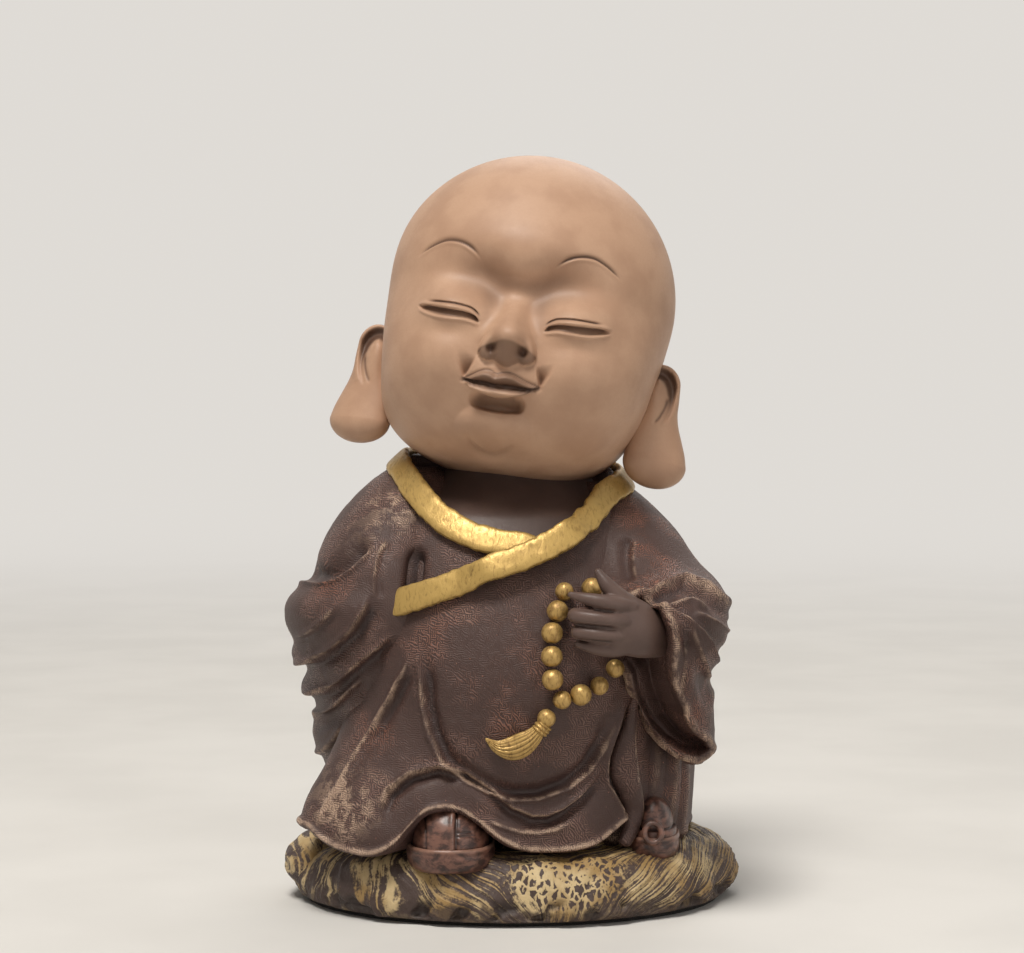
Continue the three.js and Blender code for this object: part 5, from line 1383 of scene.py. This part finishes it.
def robe_material():
    m = Nodes("robe_texture")
    at = m.places()
    raised = crackle(m, at)
    fine = m.noise(at, 0.3, 2.0)
    broad = m.noise(at, 9.0, 4.0, 0.6)
    rusty = m.math("ADD", m.math("MULTIPLY", m.range(broad, 0.46, 0.66), 0.55), m.value("rust"), clamp=True)
    # Pale dry brush, and on the belly a painted sheen highlight.
    pale = m.math("MULTIPLY", m.value("pale"), m.range(m.noise(at, 3.0, 4.0, 0.7), 0.38, 0.58))
    dark, brown, red = srgb(66, 45, 39), srgb(130, 97, 86), srgb(168, 100, 70)
    colour = m.mix(m.range(raised, 0.2, 0.9), dark, m.mix(rusty, brown, red))
    # Painted shade in the cloth's hollows: folds, fold troughs, the flap's back and the armpit pocket.
    colour = m.marked("hollow", colour, srgb(48, 34, 33), 0.1, 0.75)
    dab = m.range(m.noise(m.stretched(at, (1.0, 1.0, 0.6)), 2.2, 4.0, 0.65), 0.36, 0.6, 0.35, 1.0)
    brushed = m.math("ADD", m.math("MULTIPLY", m.value("rub"), dab), pale, clamp=True)
    brushed = m.math("MULTIPLY", brushed, m.range(raised, 0.1, 0.7, 0.55, 1.0), clamp=True)
    colour = m.mix(m.range(brushed, 0.1, 0.9, 0.0, 0.8), colour, srgb(196, 166, 142))
    colour = m.mix(m.math("MULTIPLY", m.value("inner"), 0.5), colour, srgb(84, 62, 56))
    normal = m.bump(raised, 0.2, 0.9)
    normal = m.bump(fine, 0.04, 0.5, normal)
    return m.finish(Base_Color=colour, Roughness=m.range(raised, 0.0, 1.0, 0.6, 0.42), Normal=normal)


def gold_material(name, bright, deep, hammered, metal, worn):
    m = Nodes(name)
    at = m.places()
    scratches = m.noise(m.stretched(m.warped(at, 3.0, 0.8), (1.9, 0.6, 0.7)), 1.0, 4.0, 0.65)
    blotch = m.noise(at, 4.0, 4.0, 0.6)
    colour = m.mix(m.range(scratches, worn - 0.14, worn + 0.14), deep, bright)
    colour = m.mix(m.range(blotch, 0.52, 0.75, 0.0, 0.45), colour, deep)
    # Painted shade in the collar's dents, the beads' string holes and between the tassel's strands.
    colour = m.marked("hollow", colour, srgb(66, 44, 20), 0.1, 0.75)
    colour = m.marked("rub", colour, bright, 0.2, 0.35)
    normal = m.bump(scratches, hammered, 0.8)
    normal = m.bump(m.noise(at, 0.4, 2.0), 0.03, 0.5, normal)
    roughness = m.range(scratches, 0.3, 0.7, 0.5, 0.32)
    return m.finish(Base_Color=colour, Metallic=metal, Roughness=roughness, Normal=normal)


def shoe_material():
    m = Nodes("shoe_lacquer")
    grain = m.noise(m.stretched(m.warped(m.places(), 5.0, 1.6), (1.0, 0.35, 1.6)), 2.2, 4.0, 0.6)
    colour = m.mix(m.range(grain, 0.36, 0.62), srgb(54, 35, 31), srgb(118, 82, 69))
    # Painted shade where the sole tucks in and in the seams.
    colour = m.marked("hollow", colour, srgb(36, 22, 20), 0.1, 0.8)
    colour = m.marked("rub", colour, srgb(158, 120, 100), 0.1, 0.5)
    roughness = m.range(grain, 0.2, 0.8, 0.42, 0.3)
    return m.finish(Base_Color=colour, Roughness=roughness, Normal=m.bump(grain, 0.06, 0.6))


def rock_streaks(m):
    """Streaks along the way in which the rock flows round the base."""
    flow = m.add("ShaderNodeCombineXYZ")
    for axis, (name, size) in enumerate((("flow_x", 1.0), ("flow_y", 1.0), ("flow_z", 7.0))):
        m.set(flow.inputs[axis], m.math("DIVIDE", m.value(name), size))
    inputs = {"Vector": flow.outputs[0], "Scale": 0.86, "Detail": 3.5, "Roughness": 0.52, "Distortion": 0.5}
    return m.add("ShaderNodeTexNoise", inputs, noise_type="FBM", normalize=True).outputs["Fac"]


def rock_material():
    m = Nodes("rock_paint")
    at = m.places()
    streaks = rock_streaks(m)
    cells = m.cells(m.warped(m.stretched(at, (1.0, 0.8, 0.75)), 1.5, 1.1), 1.65)
    net = m.range(cells, 0.05, 0.30, 0.64, 0.36)
    fleck = m.noise(m.warped(at, 1.2, 0.4), 0.55, 2.0)
    share = m.between(m.range(m.value("patch"), 0.2, 0.7), streaks, net)
    share = m.math("ADD", share, m.range(fleck, 0.2, 0.8, -0.05, 0.05))
    share = m.math("ADD", share, m.range(m.noise(at, 6.0, 3.0), 0.3, 0.7, -0.07, 0.07))
    ochre = m.mix(m.range(m.noise(at, 9.0, 3.0), 0.4, 0.64), srgb(160, 129, 80), srgb(204, 180, 136))
    ragged = m.math("ADD", m.value("height"), m.range(m.noise(at, 7.0, 4.0, 0.6), 0.25, 0.75, -3.5, 3.5))
    rubbed = m.math("MULTIPLY", m.range(share, 0.46, 0.6), m.range(ragged, 2.0, 4.4, 0.18, 1.0))
    colour = m.mix(rubbed, srgb(68, 52, 46), ochre)
    colour = m.mix(m.math("MULTIPLY", m.value("hollow"), 0.7), colour, srgb(50, 40, 36))
    normal = m.bump(share, 0.45, 0.9)
    normal = m.bump(fleck, 0.06, 0.6, normal)
    return m.finish(Base_Color=colour, Roughness=m.range(fleck, 0.2, 0.8, 0.7, 0.5), Normal=normal)


def felt_material():
    m = Nodes("felt_fibre")
    fibre = m.noise(m.warped(m.places(), 0.8, 0.4), 0.3, 3.0, 0.7)
    colour = m.mix(m.range(fibre, 0.3, 0.7), srgb(22, 20, 19), srgb(52, 48, 46))
    return m.finish(Base_Color=colour, Roughness=0.95, Normal=m.bump(fibre, 0.1, 0.8))


# Stage, lamps and camera

STUDIO_PALE = (0.74, 0.71, 0.67, 1)
LAMP_AIM = Vector((0, 0, 0.08))


def seen_share(tree):
    """1 for what the camera or a reflection sees, and 0 for the light that falls on the figurine."""
    path = tree.nodes.new("ShaderNodeLightPath")
    seen = tree.nodes.new("ShaderNodeMath")
    seen.operation = "MAXIMUM"
    tree.links.new(path.outputs["Is Camera Ray"], seen.inputs[0])
    tree.links.new(path.outputs["Is Glossy Ray"], seen.inputs[1])
    return seen.outputs[0]


def show_pale(tree, share, lit, pale, output):
    mix = tree.nodes.new("ShaderNodeMixShader")
    for socket, source in zip(mix.inputs, (share, lit, pale)):
        tree.links.new(source, socket)
    tree.links.new(mix.outputs[0], output.inputs["Surface"])


def build_stage():
    """Pale floor that curves up into a backdrop, and far away is plain paper in every view."""
    across = np.linspace(-6, 6, 9)
    bend = 0.7
    profile = [(-6.0, 0.0), (0.9, 0.0)]
    for a in np.linspace(0, math.pi / 2, 24)[1:]:
        profile.append((0.9 + bend * math.sin(a), bend - bend * math.cos(a)))
    profile.append((1.6, 3.2))
    verts = [(x, y, z) for y, z in profile for x in across]
    n = len(across)
    faces = [[r * n + c, r * n + c + 1, (r + 1) * n + c + 1, (r + 1) * n + c]
             for r in range(len(profile) - 1) for c in range(n - 1)]
    floor = new_object("studio_floor", new_mesh("studio_floor", verts, faces))
    m = Nodes("studio_paper")
    grain = m.noise(m.places(), 60.0, 3.0)
    colour = m.mix(m.range(grain, 0.3, 0.7), srgb(214, 211, 206), srgb(221, 218, 213))
    floor.data.materials.append(m.finish(Base_Color=colour, Roughness=0.8))
    away = m.add("ShaderNodeVectorMath", {0: m.places()}, operation="LENGTH").outputs["Value"]
    share = m.math("MULTIPLY", m.range(away, 0.3, 1.1), seen_share(m.tree))
    pale = m.add("ShaderNodeEmission", {"Color": STUDIO_PALE, "Strength": 1.0})
    show_pale(m.tree, share, m.shader.outputs[0], pale.outputs[0], m.output)


def add_lamp(name, place, size, power, colour):
    light = bpy.data.lights.new(name, "AREA")
    light.shape = "DISK"
    light.size = size
    light.energy = power
    light.color = colour
    lamp = new_object(name, light)
    lamp.location = place
    lamp.rotation_euler = (LAMP_AIM - Vector(place)).to_track_quat("-Z", "Y").to_euler()


def background(node, colour, strength):
    node.inputs["Color"].default_value = colour
    node.inputs["Strength"].default_value = strength
    return node.outputs[0]


def build_lights():
    add_lamp("key", (-0.2, -0.52, 1.22), 0.45, 14.5, (1.0, 0.97, 0.92))
    add_lamp("fill", (0.9, -1.0, 0.45), 1.2, 3.0, (1.0, 0.98, 0.96))
    add_lamp("back", (0.2, 1.0, 1.0), 0.9, 4.6, (1.0, 0.98, 0.95))
    world = bpy.data.worlds.new("studio")
    bpy.context.scene.world = world
    world.use_nodes = True
    tree = world.node_tree
    lit = background(tree.nodes["Background"], (0.9, 0.88, 0.86, 1), 0.22)
    pale = background(tree.nodes.new("ShaderNodeBackground"), STUDIO_PALE, 1.0)
    show_pale(tree, seen_share(tree), lit, pale, tree.nodes["World Output"])
    bpy.context.scene.view_settings.view_transform = "Standard"


def build_camera():
    data = bpy.data.cameras.new("photo_camera")
    data.lens = 91.4
    data.sensor_width = 36
    camera = new_object("photo_camera", data)
    camera.location = (0, (-563.3 + CENTRING) * MM, 117.2 * MM)
    camera.rotation_euler = Euler((math.radians(90 - 2.68), 0, 0))
    bpy.context.scene.camera = camera


# Put together

# The third colour of each skin is its painted shade.
skin = skin_material("skin_matt", srgb(191, 154, 127), srgb(177, 140, 114), srgb(66, 43, 33), 0.5)
# The dark skin is painted shade on the neck and chest, and on the hands partly their darker paint, partly
# painted shade.
dark_skin = skin_material("skin_dark_and_shade", srgb(98, 78, 70), srgb(84, 66, 60), srgb(40, 28, 25), 0.46)
cloth = robe_material()
band_gold = gold_material("collar_leaf", srgb(180, 148, 84), srgb(134, 105, 54), 0.07, 0.45, 0.38)
bead_gold = gold_material("bead_paint", srgb(186, 152, 90), srgb(130, 98, 54), 0.03, 0.45, 0.42)
shoe = shoe_material()
rock = rock_material()
felt = felt_material()


def place(piece, material, slot, *nodes):
    piece.data.materials.append(material)
    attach(piece, "root")
    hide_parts(*nodes)


place(build_head(), skin, "skin", "head")
place(build_ear("right_ear_skin", -1, 0.9, -31.8), skin, "skin", "right_ear")
place(build_ear("left_ear_skin", 1, 0.0, -32.4), skin, "skin", "left_ear")
place(build_neck(), dark_skin, "dark_skin", "neck_and_chest")
place(build_robe(), cloth, "robe_brown", "robe_body")
right_cloth = build_sleeve("right_sleeve_cloth", RIGHT_SLEEVE, RIGHT_FOLDS, 82)
left_cloth = build_sleeve("left_sleeve_cloth", LEFT_SLEEVE, LEFT_FOLDS, 78, SLEEVE_MOUTH)
place(right_cloth, cloth, "robe_brown", "right_sleeve")
place(left_cloth, cloth, "robe_brown", "left_sleeve")
place(build_skirt(), cloth, "robe_brown", "inner_skirt")
place(build_flap(), cloth, "robe_brown", "robe_front_flap")
under_leaf = build_band("collar_under_leaf", UNDER_BAND, under_lift, 3.0)
over_leaf = build_band("collar_over_leaf", OVER_BAND, over_lift, 71.0)
place(under_leaf, band_gold, "collar_gold", "collar_under_band")
place(over_leaf, band_gold, "collar_gold", "collar_over_band")
place(build_left_hand(), dark_skin, "dark_skin", "left_hand")
place(build_right_hand(), dark_skin, "dark_skin", "right_hand")
centres = [bead_place(*bead) for bead in BEADS]
for k, (bead, centre) in enumerate(zip(BEADS, centres)):
    ahead = centres[min(k + 1, len(centres) - 1)] - centres[max(k - 1, 0)]
    piece = build_bead(f"string_bead_{k + 1:02d}", centre, bead[3], 5.0 * k, ahead)
    place(piece, bead_gold, "bead_gold", f"bead_{k + 1:02d}")
last_bead = build_bead("string_bead_end", bead_place(*TASSEL_BEAD), TASSEL_BEAD[3], 61.0, (0.6, 0, 0.8))
place(last_bead, bead_gold, "bead_gold", "tassel_bead")
place(build_tassel_cap(), bead_gold, "bead_gold", "tassel_cap")
place(build_tassel(), bead_gold, "bead_gold", "tassel")
SHOES = (("right", RIGHT_SHOE, 9.2, right_strap), ("left", LEFT_SHOE, 9.0, left_strap))
for side, size, height, strap in SHOES:
    place(build_sole(side + "_sole", size), shoe, "shoe_brown", side + "_shoe_sole")
    upper = build_upper(side + "_upper", size, height, strap)
    place(upper, shoe, "shoe_brown", side + "_shoe_upper", side + "_shoe_strap")
place(build_buckle(), shoe, "shoe_brown", "left_shoe_buckle")
place(build_base(), rock, "earth", "base_mound")
curl = build_curl()
curl.data.materials.append(rock)
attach(curl, "root")
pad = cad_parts["felt_pad"]
pad.data.materials.clear()
pad.data.materials.append(felt)

build_stage()
build_lights()
build_camera()
